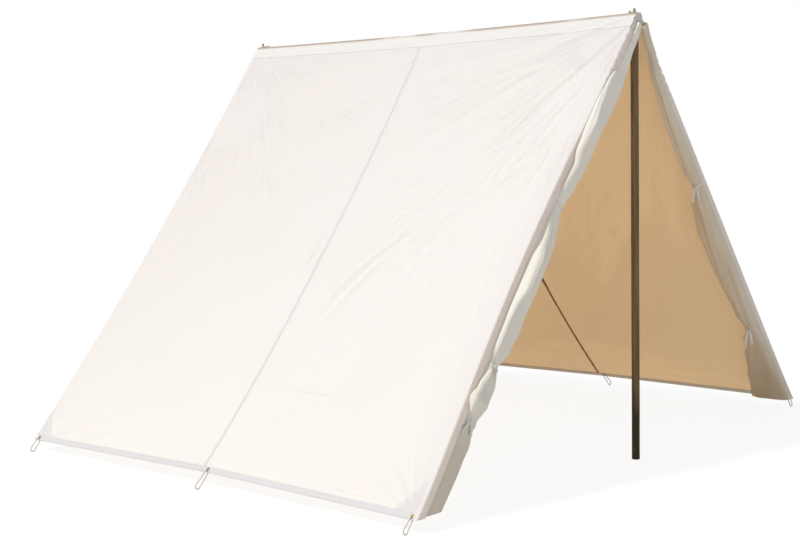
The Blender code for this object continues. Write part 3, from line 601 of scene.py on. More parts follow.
class Bench:
    """Moves on Blender's bench: adding, shaping and finishing one mesh at a time."""

    SMOOTH_ANGLE = math.radians(42)
    WELD = 0.00005
    DRILL_SIDES = 32
    CHART_SHARES = (0.02, 0.05)

    @staticmethod
    def focus(*pieces: Piece) -> None:
        """Select these pieces alone, the first one active.

        Args:
            pieces: the pieces, if any.
        """
        if bpy.context.object is not None and bpy.context.object.mode != "OBJECT":
            bpy.ops.object.mode_set(mode="OBJECT")
        bpy.ops.object.select_all(action="DESELECT")
        for piece in pieces:
            piece.select_set(True)
        if pieces:
            bpy.context.view_layer.objects.active = pieces[0]

    @staticmethod
    def added(name: str, operator: Callable[..., object], **settings: object) -> Piece:
        """Add a primitive, a lamp or a camera by its operator.

        Args:
            name: name of the piece.
            operator: what adds it.
            settings: the operator's settings.

        Returns:
            The piece, with its place in its mesh if it has one.
        """
        Bench.focus()
        operator(**settings)
        piece = bpy.context.object
        piece.name = piece.data.name = name
        return Bench.settle(piece) if piece.type == "MESH" else piece

    @staticmethod
    def laid(name: str, columns: int, rows: int, rule: Rule) -> Piece:
        """Grid whose points a rule lays, with its chart in metres.

        Args:
            name: name of the piece.
            columns: faces across.
            rows: faces down.
            rule: turns shares across and down into points and chart places.

        Returns:
            The piece.
        """
        piece = Bench.added(name, bpy.ops.mesh.primitive_grid_add, x_subdivisions=columns,
                            y_subdivisions=rows, size=1.0, calc_uvs=True)
        mesh = piece.data
        flat = Bench.points(piece)
        points, chart = rule(flat[:, 0] + 0.5, flat[:, 1] + 0.5)
        mesh.vertices.foreach_set("co", points.astype(np.float32).ravel())
        owners = np.zeros(len(mesh.loops), np.int32)
        mesh.loops.foreach_get("vertex_index", owners)
        layer = mesh.uv_layers.active
        layer.name = CHART
        layer.data.foreach_set("uv", chart[owners].astype(np.float32).ravel())
        mesh.update()
        return piece

    @staticmethod
    def points(piece: Piece) -> Array:
        """Places of a piece's vertices, one in each row."""
        flat = np.zeros(len(piece.data.vertices) * 3, np.float32)
        piece.data.vertices.foreach_get("co", flat)
        return flat.reshape(-1, 3).astype(float)

    @staticmethod
    def looped(name: str, route: Array, sides: int, size: Callable[[Array, Array], Array]) -> Piece:
        """Tube along a closed route, which keeps from twisting on the way.

        Args:
            name: name of the piece.
            route: points of the middle line, one in each row.
            sides: faces round the tube.
            size: turns shares of the route and of a turn into the radius.

        Returns:
            The piece.
        """
        line = np.vstack([route, route[:1]])
        ahead = np.gradient(line, axis=0)
        ahead[0] = ahead[-1] = line[1] - line[-2]
        ahead /= np.linalg.norm(ahead, axis=1)[:, None]
        wide = np.zeros(line.shape)
        start = np.cross(ahead[0], (0.31, 0.17, 0.94))
        for number, way in enumerate(ahead):
            start = start - way * (start @ way)
            start = start / np.linalg.norm(start)
            wide[number] = start
        thin = np.cross(ahead, wide)
        lag = math.atan2(wide[-1] @ thin[0], wide[-1] @ wide[0])
        length = float(np.linalg.norm(np.diff(line, axis=0), axis=1).sum())

        def rule(across: Array, around: Array) -> Laid:
            """Ring round each point of the line, turned back by its share of the twist."""
            place = np.rint(across * (len(line) - 1)).astype(int)
            turn = TURN * around - lag * across
            radius = size(across, around)
            points = (line[place] + wide[place] * (radius * np.cos(turn))[:, None]
                      + thin[place] * (radius * np.sin(turn))[:, None])
            return points, stacked(across * length, around * TURN * radius.max())

        return Bench.weld(Bench.laid(name, len(line) - 1, sides, rule))

    @staticmethod
    def turned(name: str, outline: Array, sides: int, place: Matrix) -> Piece:
        """Closed outline turned about an axis.

        Args:
            name: name of the piece.
            outline: radius and height of each point, in order round the outline.
            sides: faces in a turn.
            place: where it goes, with Z as the axis.

        Returns:
            The piece.
        """
        ring = np.vstack([outline, outline[:1]])

        def rule(across: Array, around: Array) -> Laid:
            """Each point of the outline, carried round the axis."""
            radius, height = ring[np.rint(across * (len(ring) - 1)).astype(int)].T
            turn = TURN * around
            local = stacked(radius * np.cos(turn), radius * np.sin(turn), height, np.ones(len(turn)))
            along, round_it = Bench.CHART_SHARES
            return (local @ np.array(place).T)[:, :3], stacked(across * along, around * round_it)

        return Bench.weld(Bench.laid(name, len(ring) - 1, sides, rule))

    @staticmethod
    def cut(piece: Piece, places: Sequence[Matrix], radius: float, depth: float) -> None:
        """Cut round holes.

        Args:
            piece: the piece.
            places: middle of each hole, with Z as its axis.
            radius: the holes' radius.
            depth: length of the cutters.
        """
        drills = []
        for place in places:
            drill = Bench.added("drill", bpy.ops.mesh.primitive_cylinder_add, vertices=Bench.DRILL_SIDES,
                                radius=radius, depth=depth)
            drill.matrix_world = place
            drills.append(Bench.settle(drill))
        tool = Bench.joined(*drills)
        Bench.modify(piece, "BOOLEAN", operation="DIFFERENCE", solver="MANIFOLD", object=tool)
        bpy.data.objects.remove(tool)

    @staticmethod
    def turn_out(piece: Piece, outwards: Sequence[float]) -> None:
        """Flip the faces where they look away from a direction.

        Args:
            piece: the piece.
            outwards: direction that the faces should look in, on the whole.
        """
        normals = np.zeros(len(piece.data.polygons) * 3, np.float32)
        piece.data.polygons.foreach_get("normal", normals)
        if (normals.reshape(-1, 3) @ np.array(outwards, np.float32)).mean() < 0:
            Bench.flip(piece)

    @staticmethod
    @contextmanager
    def editing(piece: Piece) -> Iterator[None]:
        """Hold a piece in edit mode with all of it selected."""
        Bench.focus(piece)
        bpy.ops.object.mode_set(mode="EDIT")
        bpy.ops.mesh.select_all(action="SELECT")
        yield
        bpy.ops.object.mode_set(mode="OBJECT")

    @staticmethod
    def flip(piece: Piece) -> None:
        """Turn all faces of a piece round."""
        with Bench.editing(piece):
            bpy.ops.mesh.flip_normals()

    @staticmethod
    def weld(piece: Piece) -> Piece:
        """Merge points that meet, and turn the faces outwards."""
        with Bench.editing(piece):
            bpy.ops.mesh.remove_doubles(threshold=Bench.WELD)
            bpy.ops.mesh.normals_make_consistent(inside=False)
        return piece

    @staticmethod
    def modify(piece: Piece, kind: str, **settings: object) -> None:
        """Add a modifier, set it and apply it.

        Args:
            piece: the piece.
            kind: the modifier's type.
            settings: its properties.
        """
        Bench.focus(piece)
        modifier = piece.modifiers.new(kind.lower(), kind)
        for key, value in settings.items():
            setattr(modifier, key, value)
        bpy.ops.object.modifier_apply(modifier=modifier.name)

    @staticmethod
    def thicken(piece: Piece, thickness: float) -> None:
        """Give a sheet its thickness, behind its face, with the back in the second finish."""
        Bench.modify(piece, "SOLIDIFY", thickness=thickness, offset=-1.0, material_offset=1,
                     material_offset_rim=0, use_even_offset=False)

    @staticmethod
    def smooth(piece: Piece) -> Piece:
        """Shade a piece smooth, but for its sharp edges."""
        Bench.focus(piece)
        bpy.ops.object.shade_smooth_by_angle(angle=Bench.SMOOTH_ANGLE)
        return piece

    @staticmethod
    @contextmanager
    def picked(piece: Piece, kind: str, test: Callable[[object], bool]) -> Iterator[None]:
        """Hold a piece in edit mode with part of it selected.

        Args:
            piece: the piece.
            kind: "EDGE" or "FACE".
            test: says whether an edge or polygon is selected.

        Yields:
            Nothing.
        """
        with Bench.editing(piece):
            bpy.ops.mesh.select_mode(type=kind)
            bpy.ops.mesh.select_all(action="DESELECT")
        for item in piece.data.edges if kind == "EDGE" else piece.data.polygons:
            item.select = test(item)
        bpy.ops.object.mode_set(mode="EDIT")
        yield
        bpy.ops.object.mode_set(mode="OBJECT")

    @staticmethod
    def settle(piece: Piece) -> Piece:
        """Leave edit mode and move the piece's place into its mesh."""
        Bench.focus(piece)
        bpy.ops.object.transform_apply(location=True, rotation=True, scale=True)
        return piece

    @staticmethod
    def joined(*pieces: Piece) -> Piece:
        """Join pieces into the first one."""
        Bench.focus(*pieces)
        bpy.ops.object.join()
        return pieces[0]


@dataclass(frozen=True)
class Wrinkle:
    """A soft ridge along a line on a cloth, with a hollow beside it."""

    line: tuple[Place, ...]
    width: float = 0.020
    height: float = 0.0022

    def rise(self, along: Array, down: Array) -> Array:
        """Height of the ridge.

        Args:
            along: places along the cloth.
            down: places down the cloth.

        Returns:
            The height at each place.
        """
        best = np.full(along.shape, 1e9)
        side = np.zeros(along.shape)
        reached = np.zeros(along.shape)
        steps = len(self.line) - 1
        for number, (start, end) in enumerate(zip(self.line, self.line[1:])):
            way_along, way_down = end[0] - start[0], end[1] - start[1]
            length = math.hypot(way_along, way_down)
            share = ((along - start[0]) * way_along + (down - start[1]) * way_down) / length ** 2
            held = np.clip(share, 0.0, 1.0)
            off_along = along - start[0] - held * way_along
            off_down = down - start[1] - held * way_down
            away = np.hypot(off_along, off_down)
            nearer = away < best
            best = np.where(nearer, away, best)
            side = np.where(nearer, (off_along * way_down - off_down * way_along) / length, side)
            reached = np.where(nearer, (number + held) / steps, reached)
        taper = np.sin(math.pi * np.clip(reached, 0.0, 1.0)) ** 0.8
        end_fade = np.exp(-((best ** 2 - side ** 2).clip(0.0) / self.width ** 2))
        ridge = np.exp(-(side / self.width) ** 2)
        hollow = np.exp(-((side - 1.7 * self.width) / self.width) ** 2)
        return self.height * taper * end_fade * (ridge - 0.6 * hollow)


@dataclass(frozen=True)
class Drawing:
    """Short wrinkles drawn towards a point of a cloth."""

    centre: Place
    count: int
    seed: int
    start: Place
    turn: Place
    height: float
    width: Place = (0.009, 0.016)

    def wrinkles(self) -> tuple[Wrinkle, ...]:
        """Lay out the wrinkles.

        Returns:
            The wrinkles.
        """
        random = np.random.default_rng(self.seed)
        made = []
        for _ in range(self.count):
            angle = random.uniform(*self.turn)
            start = random.uniform(*self.start)
            length = random.uniform(0.12, 0.42) * (0.5 + 0.6 * start)
            bend = random.uniform(-0.09, 0.09)
            line = []
            for share in (0.0, 0.5, 1.0):
                away = start + share * length
                here = angle + bend * share
                line.append((self.centre[0] + away * math.cos(here), self.centre[1] + away * math.sin(here)))
            width = random.uniform(*self.width)
            made.append(Wrinkle(tuple(line), width, self.height * random.uniform(0.4, 1.0)))
        return tuple(made)


@dataclass(frozen=True)
class Fan:
    """Tension folds that spread from a point of a cloth."""

    centre: Place
    height: float
    near: float
    reach: float
    folds: float
    seed: int

    def rise(self, along: Array, down: Array) -> Array:
        """Height of the folds.

        Args:
            along: places along the cloth.
            down: places down the cloth.

        Returns:
            The height at each place.
        """
        random = np.random.default_rng(self.seed)
        off_along = along - self.centre[0]
        off_down = down - self.centre[1]
        away = np.hypot(off_along, off_down)
        turn = np.arctan2(off_down, off_along)
        total = np.zeros(along.shape)
        for share in (0.45, 0.75, 1.0, 1.45, 2.1):
            phase = random.uniform(0, TURN)
            drift = random.uniform(-0.5, 0.5)
            total += np.cos(self.folds * share * turn + phase + drift * away * 3) / share ** 0.4
        hold = eased(away / self.near) * np.exp(-(away / self.reach) ** 2)
        return self.height * hold * total / 3


@dataclass(frozen=True)
class Creases:
    """All wrinkles and folds of one cloth."""

    wrinkles: tuple[Wrinkle, ...] = ()
    fans: tuple[Fan, ...] = ()

    def rise(self, along: Array, down: Array) -> Array:
        """Height of all of them together."""
        total = np.zeros(np.broadcast(along, down).shape)
        for one in (*self.wrinkles, *self.fans):
            total += one.rise(along, down)
        return total


@dataclass
class TentShape:
    """The canvas body's sizes, and the places that follow from them."""

    ridge_height: float = 2.10
    hem_spread: float = 3.27
    canvas_length: float = 2.56
    hem_height: float = 0.055
    slope_sag: float = 0.09
    end_sag_share: float = 0.4
    left_bow: float = 0.072
    right_bow: float = -0.02
    bow_power: float = 1.5
    hem_rise: float = 0.018
    ridge_droop: float = 0.009
    cloth: float = 0.002
    tape: float = 0.0012
    lay_gap: float = 0.0006
    edge_gap: float = 0.0004
    pole_width: float = 0.040
    pole_round: float = 0.008
    upright_inset: float = 0.024
    facing_width: float = 0.040
    hem_band_width: float = 0.030
    seam_width: float = 0.014
    ridge_band_reach: float = 0.095
    patch_size: float = 0.140
    skew_reach: float = 0.35
    flap_hem_lift: float = 0.004
    corner_hole_inset: float = 0.030
    seam_hole_inset: float = 0.035
    hem_hole: float = 0.006
    ridge_hole: float = 0.0072
    barrel_wall: float = 0.001
    flange: float = 0.0009
    flange_width: float = 0.0032
    pin_radius: float = 0.006

    def __post_init__(self) -> None:
        """Work out the places that follow from the sizes.

        The ridge pole's corner is rounded, so each slope starts on an arc about that corner's
        centre. The door seam's line runs parallel to the slope, a facing's width inside it.
        """
        self.front_y = -self.upright_inset
        self.rear_y = self.front_y + self.canvas_length
        self.face_y = self.front_y - self.edge_gap - self.cloth / 2
        self.arc_x = self.pole_width / 2 - self.pole_round
        self.arc_z = self.ridge_height - self.cloth - self.lay_gap - self.pole_round
        self.arc_radius = self.pole_round + self.lay_gap + self.cloth
        to_hem = Vector((self.hem_spread / 2 - self.arc_x, self.hem_height - self.arc_z))
        self.out_angle = math.atan2(to_hem.y, to_hem.x) + math.acos(self.arc_radius / to_hem.length)
        self.out_x = math.cos(self.out_angle)
        self.out_z = math.sin(self.out_angle)
        self.slope_length = math.sqrt(to_hem.length_squared - self.arc_radius ** 2)
        self.slope_start = self.arc_x + self.arc_radius * (math.pi / 2 - self.out_angle)
        self.cloth_reach = self.slope_start + self.slope_length
        self.hinge_x = self.arc_x + (self.arc_radius - self.facing_width) * self.out_x
        self.hinge_z = self.arc_z + (self.arc_radius - self.facing_width) * self.out_z
        self.flap_end = (self.hinge_z - self.hem_height - self.flap_hem_lift) / self.out_x
        self.hem_stack = self.cloth + self.lay_gap + self.tape
        self.hem_holes = (self.corner_hole_inset, self.canvas_length / 2 - self.seam_hole_inset,
                          self.canvas_length - self.corner_hole_inset)

    def bow(self, side: Side) -> float:
        """How far the middle of a front edge stands to the rear of its ends."""
        return self.left_bow if side is Side.LEFT else self.right_bow

    def belly(self, down: Array) -> Array:
        """Share of the full sag: 0 at the ridge and the hem, 1 half way."""
        share = np.clip((down - self.slope_start) / self.slope_length, 0.0, 1.0)
        return 4 * share * (1 - share)

    def bow_at(self, side: Side, down: Array) -> Array:
        """How far the front edge bows towards the rear."""
        return self.bow(side) * self.belly(down) ** self.bow_power

    def sink_at(self, share: Array, down: Array) -> Array:
        """How far the slope sags inwards, at a share of its length from the front."""
        middle = 4 * share * (1 - share)
        return self.slope_sag * self.belly(down) * (self.end_sag_share + (1 - self.end_sag_share) * middle)

    def profile(self, down: Array) -> tuple[Array, Array, Array, Array]:
        """Outer face of the cloth over the ridge and down the slope.

        Args:
            down: distance from the ridge line.

        Returns:
            Place across, height, and the normal's two parts.
        """
        turn = np.clip((down - self.arc_x) / self.arc_radius, 0.0, math.pi / 2 - self.out_angle)
        run = np.clip(down - self.slope_start, 0.0, None)
        normal_x = np.sin(turn)
        normal_z = np.cos(turn)
        x = np.minimum(down, self.arc_x) + self.arc_radius * normal_x + run * self.out_z
        z = self.arc_z + self.arc_radius * normal_z - run * self.out_x
        return x, z, normal_x, normal_z

    def point(self, side: Side, along: Array, down: Array, rise: Array | float = 0.0) -> Array:
        """Points of a slope.

        Args:
            side: which slope.
            along: distance from the front edge.
            down: distance from the ridge line.
            rise: height above the outer face.

        Returns:
            The points, one in each row.
        """
        share = along / self.canvas_length
        fallen = np.clip((down - self.slope_start) / self.slope_length, 0.0, None)
        drawn_up = self.hem_rise * (1 - np.abs(2 * share - 1)) * fallen ** 2
        x, z, normal_x, normal_z = self.profile(down - drawn_up)
        height = rise - self.sink_at(np.clip(share, 0.0, 1.0), down)
        y = self.front_y + along + self.bow_at(side, down) * (1 - share)
        droop = self.droop_at(share) * (1 - np.clip(fallen, 0.0, 1.0)) ** 2
        return stacked(side.value * (x + normal_x * height), y, z + normal_z * height - droop)

    def droop_at(self, share: Array) -> Array:
        """How far the loaded ridge hangs at a share of its length."""
        pinned = self.upright_inset / self.canvas_length
        held = np.clip((share - pinned) / (1 - 2 * pinned), 0.0, 1.0)
        return self.ridge_droop * 4 * held * (1 - held)

    def hem_place(self, side: Side, along: float) -> Matrix:
        """Place of a hem grommet on a slope: Z out of the cloth, -Y down the slope.

        Args:
            side: which slope.
            along: distance from the front edge.

        Returns:
            The place.
        """
        down = self.cloth_reach - self.hem_band_width / 2
        reach = self.hem_band_width / 2
        places = self.point(side, np.array([along, along, along, along + reach, along - reach]),
                            np.array([down, down + reach, down - reach, down, down]))
        middle, lower, upper, rear, front = (Vector(place) for place in places)
        fall = (lower - upper).normalized()
        out = side.value * fall.cross(rear - front).normalized()
        place = Matrix(((-fall).cross(out), -fall, out)).transposed().to_4x4()
        place.translation = middle
        return place

    def rear_place(self) -> Matrix:
        """Place of the rear wall's hem grommet: Z out of the cloth, -Y down."""
        place = Matrix(((-1.0, 0.0, 0.0), (0.0, 0.0, 1.0), (0.0, 1.0, 0.0))).transposed().to_4x4()
        place.translation = Vector((self.seam_hole_inset, self.rear_y + self.edge_gap + self.cloth,
                                    self.hem_height + self.hem_band_width / 2))
        return place

    def hem_places(self, side: Side) -> dict[str, Matrix]:
        """Places of a slope's three hem grommets, by their names."""
        names = ("front", "seam", "rear")
        return {name: self.hem_place(side, along) for name, along in zip(names, self.hem_holes)}

    def hem_fittings(self) -> list[tuple[str, Matrix, float]]:
        """First words, place and cloth thickness of every hem grommet, whose corners have a patch as well."""
        band = self.hem_stack
        corner = band + self.lay_gap + self.tape
        return [*((f"{side.word}_{name}", place, band if name == "seam" else corner)
                  for side in Side for name, place in self.hem_places(side).items()),
                ("rear", self.rear_place(), band)]

    def ridge_place(self, end: End) -> Matrix:
        """Place of a ridge grommet, on top of the ridge band."""
        y = 0.0 if end is End.FRONT else self.rear_y - self.upright_inset
        return Matrix.Translation((0.0, y, self.ridge_height + self.lay_gap + self.tape))

    def lean(self, to_end: Array) -> Array:
        """Share by which what turns in at the front leans, to end level with the ground."""
        return eased(1 - to_end / self.skew_reach)

    def door_point(self, side: Side, run: Array, inwards: Array, forwards: Array) -> Array:
        """Points by their place from the door seam's straight line.

        Args:
            side: which door.
            run: distance down the line.
            inwards: distance inwards of it.
            forwards: distance forwards of it.

        Returns:
            The points, one in each row.
        """
        run_here = run - self.lean(self.flap_end - run) * inwards * self.out_z / self.out_x
        x = self.hinge_x + run_here * self.out_z - inwards * self.out_x
        z = self.hinge_z - run_here * self.out_x - inwards * self.out_z
        return stacked(side.value * x, self.face_y - forwards, z)


@dataclass
class Tent:
    """What every sub-assembly needs: the shape, the finishes and the body that it rides on."""

    shape: TentShape
    wardrobe: Wardrobe
    body: str = "tent"

    def sewn(self, name: str, counts: Faces, rule: Rule, outwards: Sequence[float], thickness: float,
             look: Look, back: Look | None = None) -> Piece:
        """Cloth of even thickness, laid by a rule.

        Args:
            name: name of the piece.
            counts: faces across and down.
            rule: turns shares across and down into points and chart places.
            outwards: direction that its face looks in, on the whole.
            thickness: its thickness, behind its face.
            look: finish of its face.
            back: finish of its back, if it is another one.

        Returns:
            The piece.
        """
        piece = Bench.laid(name, *counts, rule)
        Bench.turn_out(piece, outwards)
        self.wardrobe.dress(piece, look, back or look)
        Bench.thicken(piece, thickness)
        return piece

    def hang(self, piece: Piece, slot: str, *nodes: str, body: str | None = None) -> None:
        """Put a finished piece on its body, in the place of its solids.

        Args:
            piece: the piece.
            slot: the record's material slot; not used.
            nodes: the solids that it stands for.
            body: the body that it rides on, if not the canvas body.
        """
        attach(piece, body or self.body)
        if nodes:
            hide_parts(*nodes)
        log.info("%s: %d faces for %s", piece.name, len(piece.data.polygons), ", ".join(nodes) or "no solid")


@dataclass
class Slopes(Tent):
    """Both slopes: panels, seams, hem bands, corner patches and the band over the ridge."""

    cloth: float = 0.0014
    band_gap: float = 0.0005
    bend: float = 0.009
    behind_bend: float = 0.017
    drill_depth: float = 0.030
    facing_forward: float = 0.0024
    relief: float = 1.55
    hole_calm: float = 0.022
    scallop: float = 0.0070
    scallop_pitch: float = 0.049
    scallop_reach: float = 0.52
    slope_columns: int = 138
    bend_columns: int = 8
    facing_columns: int = 8
    panel_rows: int = 294
    top_share: float = 0.05
    top_reach: float = 0.03
    seam_faces: Faces = (4, 200)
    hem_faces: Faces = (230, 5)
    ridge_faces: Faces = (230, 34)
    patch_faces: Faces = (14, 16)
    patch_tip_share: float = 0.15
    pucker: float = 0.0005
    pucker_pitches: Place = (0.085, 0.053)
    edge_fade: float = 0.05
    top_fade: float = 0.10
    sewn_reach: float = 0.03

    def __post_init__(self) -> None:
        """Lay out the creases of each slope."""
        reach = self.shape.cloth_reach
        length = self.shape.canvas_length
        seen = tuple(Wrinkle(*values) for values in (
            (((0.13, 0.24), (0.43, 0.285), (0.76, 0.37), (1.02, 0.49)), 0.018, 0.0026),
            (((0.25, 0.145), (0.53, 0.14), (0.86, 0.158)), 0.012, 0.0014),
            (((0.31, 0.27), (0.53, 0.335), (0.67, 0.436)), 0.016, 0.0024),
            (((0.09, 0.37), (0.13, 0.42), (0.21, 0.50)), 0.010, 0.0018),
            (((0.27, 0.59), (0.30, 0.67)), 0.010, 0.0022),
            (((0.05, 0.69), (0.26, 0.88), (0.48, 1.05), (0.63, 1.18)), 0.020, 0.0030),
            (((0.12, 0.52), (0.36, 0.70), (0.62, 0.84)), 0.018, 0.0022),
            (((0.10, 0.95), (0.31, 1.20), (0.50, 1.46)), 0.020, 0.0024),
            (((0.70, 1.07), (0.84, 1.27), (1.02, 1.48), (1.15, 1.78)), 0.020, 0.0048),
            (((0.66, 1.19), (0.87, 1.40), (1.00, 1.63), (1.08, 1.86)), 0.022, 0.0052),
            (((0.70, 0.98), (0.88, 1.13), (1.00, 1.28)), 0.016, 0.0030),
            (((0.48, 1.20), (0.66, 1.45), (0.80, 1.70)), 0.022, 0.0030),
            (((1.337, 1.22), (1.352, 1.35), (1.362, 1.50)), 0.009, 0.0046),
            (((1.272, 1.32), (1.306, 1.40), (1.330, 1.49)), 0.010, 0.0032),
            (((1.97, 2.257), (1.83, 2.251), (1.71, 2.249)), 0.007, 0.0024),
            (((1.13, 2.132), (0.83, 2.130), (0.59, 2.124)), 0.007, 0.0030),
            (((1.05, 2.30), (0.895, 2.197)), 0.014, 0.0020),
            (((1.17, 2.509), (0.72, 2.517), (0.20, 2.566)), 0.022, 0.0040),
            (((0.69, 2.550), (0.40, 2.560), (0.18, 2.580)), 0.012, 0.0026),
            (((0.50, 2.445), (0.24, 2.530), (0.07, 2.600)), 0.016, 0.0040),
            (((0.30, 2.388), (0.155, 2.49), (0.05, 2.590)), 0.013, 0.0040),
            (((0.17, 2.300), (0.10, 2.45), (0.035, 2.590)), 0.011, 0.0034),
            (((2.48, 2.606), (2.40, 2.560), (2.26, 2.500)), 0.014, 0.0036),
            (((2.34, 2.602), (2.14, 2.536), (1.95, 2.488)), 0.018, 0.0034),
            (((0.105, 1.70), (0.107, 1.90), (0.12, 2.05)), 0.013, 0.0030),
            (((0.180, 1.38), (0.141, 1.59), (0.11, 1.78)), 0.014, 0.0030),
            (((0.250, 1.10), (0.200, 1.35), (0.17, 1.55)), 0.018, 0.0026),
        ))
        other = tuple(
            Wrinkle(((a, d), (a + w, d + f), (a + 2.1 * w, d + 1.9 * f)), 0.018, h)
            for a, d, w, f, h in (
                (0.16, 0.40, 0.20, 0.16, 0.0026), (0.30, 0.75, 0.17, 0.22, 0.0030),
                (0.62, 1.30, 0.14, 0.24, 0.0034), (0.20, 1.55, -0.03, 0.20, 0.0028),
                (2.30, 0.55, -0.19, 0.22, 0.0026), (2.05, 1.20, -0.13, 0.26, 0.0030),
                (1.70, 2.36, -0.22, 0.02, 0.0026), (0.40, 2.50, 0.24, 0.01, 0.0030),
                (1.24, 1.62, 0.02, 0.10, 0.0034), (2.42, 2.40, -0.10, -0.09, 0.0030),
            ))
        apex = (-0.02, 0.02)
        drawn = {
            Side.LEFT: ((apex, 46, 31, (0.25, 1.45), (0.80, 1.50), 0.0017),
                        (apex, 12, 32, (0.30, 0.80), (0.10, 0.70), 0.0011),
                        ((0.0, reach), 9, 33, (0.06, 0.40), (-1.45, -0.10), 0.0016),
                        ((length, reach), 8, 34, (0.06, 0.40), (-3.0, -1.75), 0.0016),
                        ((0.02, 1.30), 14, 35, (0.05, 0.30), (0.75, 1.65), 0.0014)),
            Side.RIGHT: ((apex, 26, 41, (0.25, 1.45), (0.80, 1.50), 0.0016),
                         ((length + 0.02, 0.02), 20, 42, (0.25, 1.30), (1.65, 2.40), 0.0014),
                         ((0.0, reach), 8, 43, (0.06, 0.40), (-1.45, -0.10), 0.0016)),
        }
        fans = {
            Side.LEFT: ((-0.06, 0.00, 0.0030, 0.10, 1.25, 34.0, 11),
                        (0.00, reach, 0.0016, 0.05, 0.36, 16.0, 12),
                        (length, reach, 0.0014, 0.05, 0.34, 16.0, 13),
                        (length, 0.0, 0.0012, 0.08, 0.80, 20.0, 14)),
            Side.RIGHT: ((-0.06, 0.00, 0.0026, 0.10, 1.10, 30.0, 21),
                         (0.00, reach, 0.0022, 0.05, 0.40, 16.0, 22),
                         (length, reach, 0.0022, 0.05, 0.40, 16.0, 23),
                         (length, 0.0, 0.0020, 0.08, 0.90, 24.0, 24)),
        }
        self.creases = {
            side: Creases(own + tuple(one for values in drawn[side] for one in Drawing(*values).wrinkles()),
                          tuple(Fan(values[:2], *values[2:]) for values in fans[side]))
            for side, own in ((Side.LEFT, seen), (Side.RIGHT, other))}

    def rise_at(self, side: Side, along: Array, down: Array) -> Array:
        """Height of the creases, which flatten at the ridge, the hem and the sewn edges.

        Args:
            side: which slope.
            along: distance from the front edge.
            down: distance from the ridge line.

        Returns:
            The height at each place.
        """
        fade = self.edge_fade
        held = eased(down / self.top_fade) * eased((self.shape.cloth_reach - down) / fade)
        held *= eased((along + 0.01) / fade) * eased((self.shape.canvas_length - along + 0.005) / fade)
        for hole in self.shape.hem_holes:
            off_down = down - self.shape.cloth_reach + self.shape.hem_band_width / 2
            held *= 1 - np.exp(-((along - hole) ** 2 + off_down ** 2) / self.hole_calm ** 2)
        return (self.creases[side].rise(along, down) * self.relief + self._pucker(along, down)) * held

    def _pucker(self, along: Array, down: Array) -> Array:
        """Small puckers that the seam's stitches draw in the cloth.

        Args:
            along: distance from the front edge.
            down: distance from the ridge line.

        Returns:
            Their height at each place.
        """
        away = along - self.shape.canvas_length / 2
        long, short = self.pucker_pitches
        wave = np.sin(down * TURN / long) + 0.6 * np.sin(down * TURN / short + 1.3)
        return self.pucker * wave * np.exp(-(away / self.sewn_reach) ** 2)

    def _scallop(self, along: Array, down: Array) -> Array:
        """How far the gathered edge near the apex is drawn to the rear.

        Args:
            along: distance from the front edge.
            down: distance from the ridge line.

        Returns:
            The distance at each place.
        """
        wave = np.abs(np.sin(down * math.pi / self.scallop_pitch)) ** 0.7
        hold = eased((self.scallop_reach - down) / 0.2) * eased(down / 0.06)
        return self.scallop * (1 - wave) * hold * np.exp(-(along / self.sewn_reach) ** 2)

    def layer(self, side: Side, along: Array, down: Array, rise: float) -> Array:
        """Points of a layer that follows the panels' creases.

        Args:
            side: which slope.
            along: distance from the front edge.
            down: distance from the ridge line.
            rise: height of the layer above the panel's outer face.

        Returns:
            The points, one in each row.
        """
        points = self.shape.point(side, along, down, rise + self.rise_at(side, along, down))
        points[:, 1] += self._scallop(along, down)
        return points

    def panel(self, side: Side, end: End) -> Piece:
        """Panel of a slope, the front one with its turned-in facing.

        Args:
            side: which slope.
            end: which half of it.

        Returns:
            The piece.
        """
        shape = self.shape
        middle = shape.canvas_length / 2
        front = end is End.FRONT
        columns = self.slope_columns + (self.bend_columns + self.facing_columns if front else 0)
        bend_start = self.slope_columns / columns
        facing_start = (self.slope_columns + self.bend_columns) / columns

        def rule(across: Array, down_share: Array) -> Laid:
            """Slope, then for the front panel the bend and the facing behind it."""
            down = ramp(down_share, ((0.0, shape.edge_gap / 2), (self.top_share, self.top_reach),
                                     (1.0, shape.cloth_reach)))
            if not front:
                along = middle + shape.edge_gap / 2 + across * (middle - shape.edge_gap / 2)
                points = self.layer(side, along, down, 0.0)
                return points, stacked(along - middle, shape.cloth_reach - down)
            room = shape.profile(down)[0] / shape.out_x
            bend = np.minimum(self.bend, room * 0.4)
            width = np.minimum(shape.facing_width, room - shape.edge_gap)
            near = -self.facing_forward
            slope_share = np.clip(across / bend_start, 0.0, 1.0)
            turn = np.clip((across - bend_start) / (facing_start - bend_start), 0.0, 1.0) * math.pi / 2
            inner = np.clip((across - facing_start) / (1 - facing_start), 0.0, 1.0)
            start = middle - shape.edge_gap / 2
            along = start + slope_share * (near + bend - start) - bend * np.sin(turn)
            depth = bend * (1 - np.cos(turn)) + inner * (width - bend)
            lift = shape.lean(shape.cloth_reach - down) * depth * shape.out_z / shape.out_x
            points = self.layer(side, along, down - lift, 0.0)
            points[:, 0] -= side.value * depth * shape.out_x
            points[:, 2] -= depth * shape.out_z
            return points, stacked(middle - along + depth, shape.cloth_reach - down)

        # The back takes the inside finish, whose tan is painted glow of light through the cloth.
        piece = self.sewn(f"{side.word}_{end.value}_canvas", (columns, self.panel_rows), rule,
                          (side.value * shape.out_x, -0.05, shape.out_z), self.cloth, Look.CANVAS,
                          Look.LINING)
        holes = ("front", "seam") if front else ("rear",)
        self._eyelets(piece, [shape.hem_places(side)[name] for name in holes], shape.hem_hole)
        self._eyelets(piece, [shape.ridge_place(end)], shape.ridge_hole)
        return Bench.smooth(piece)

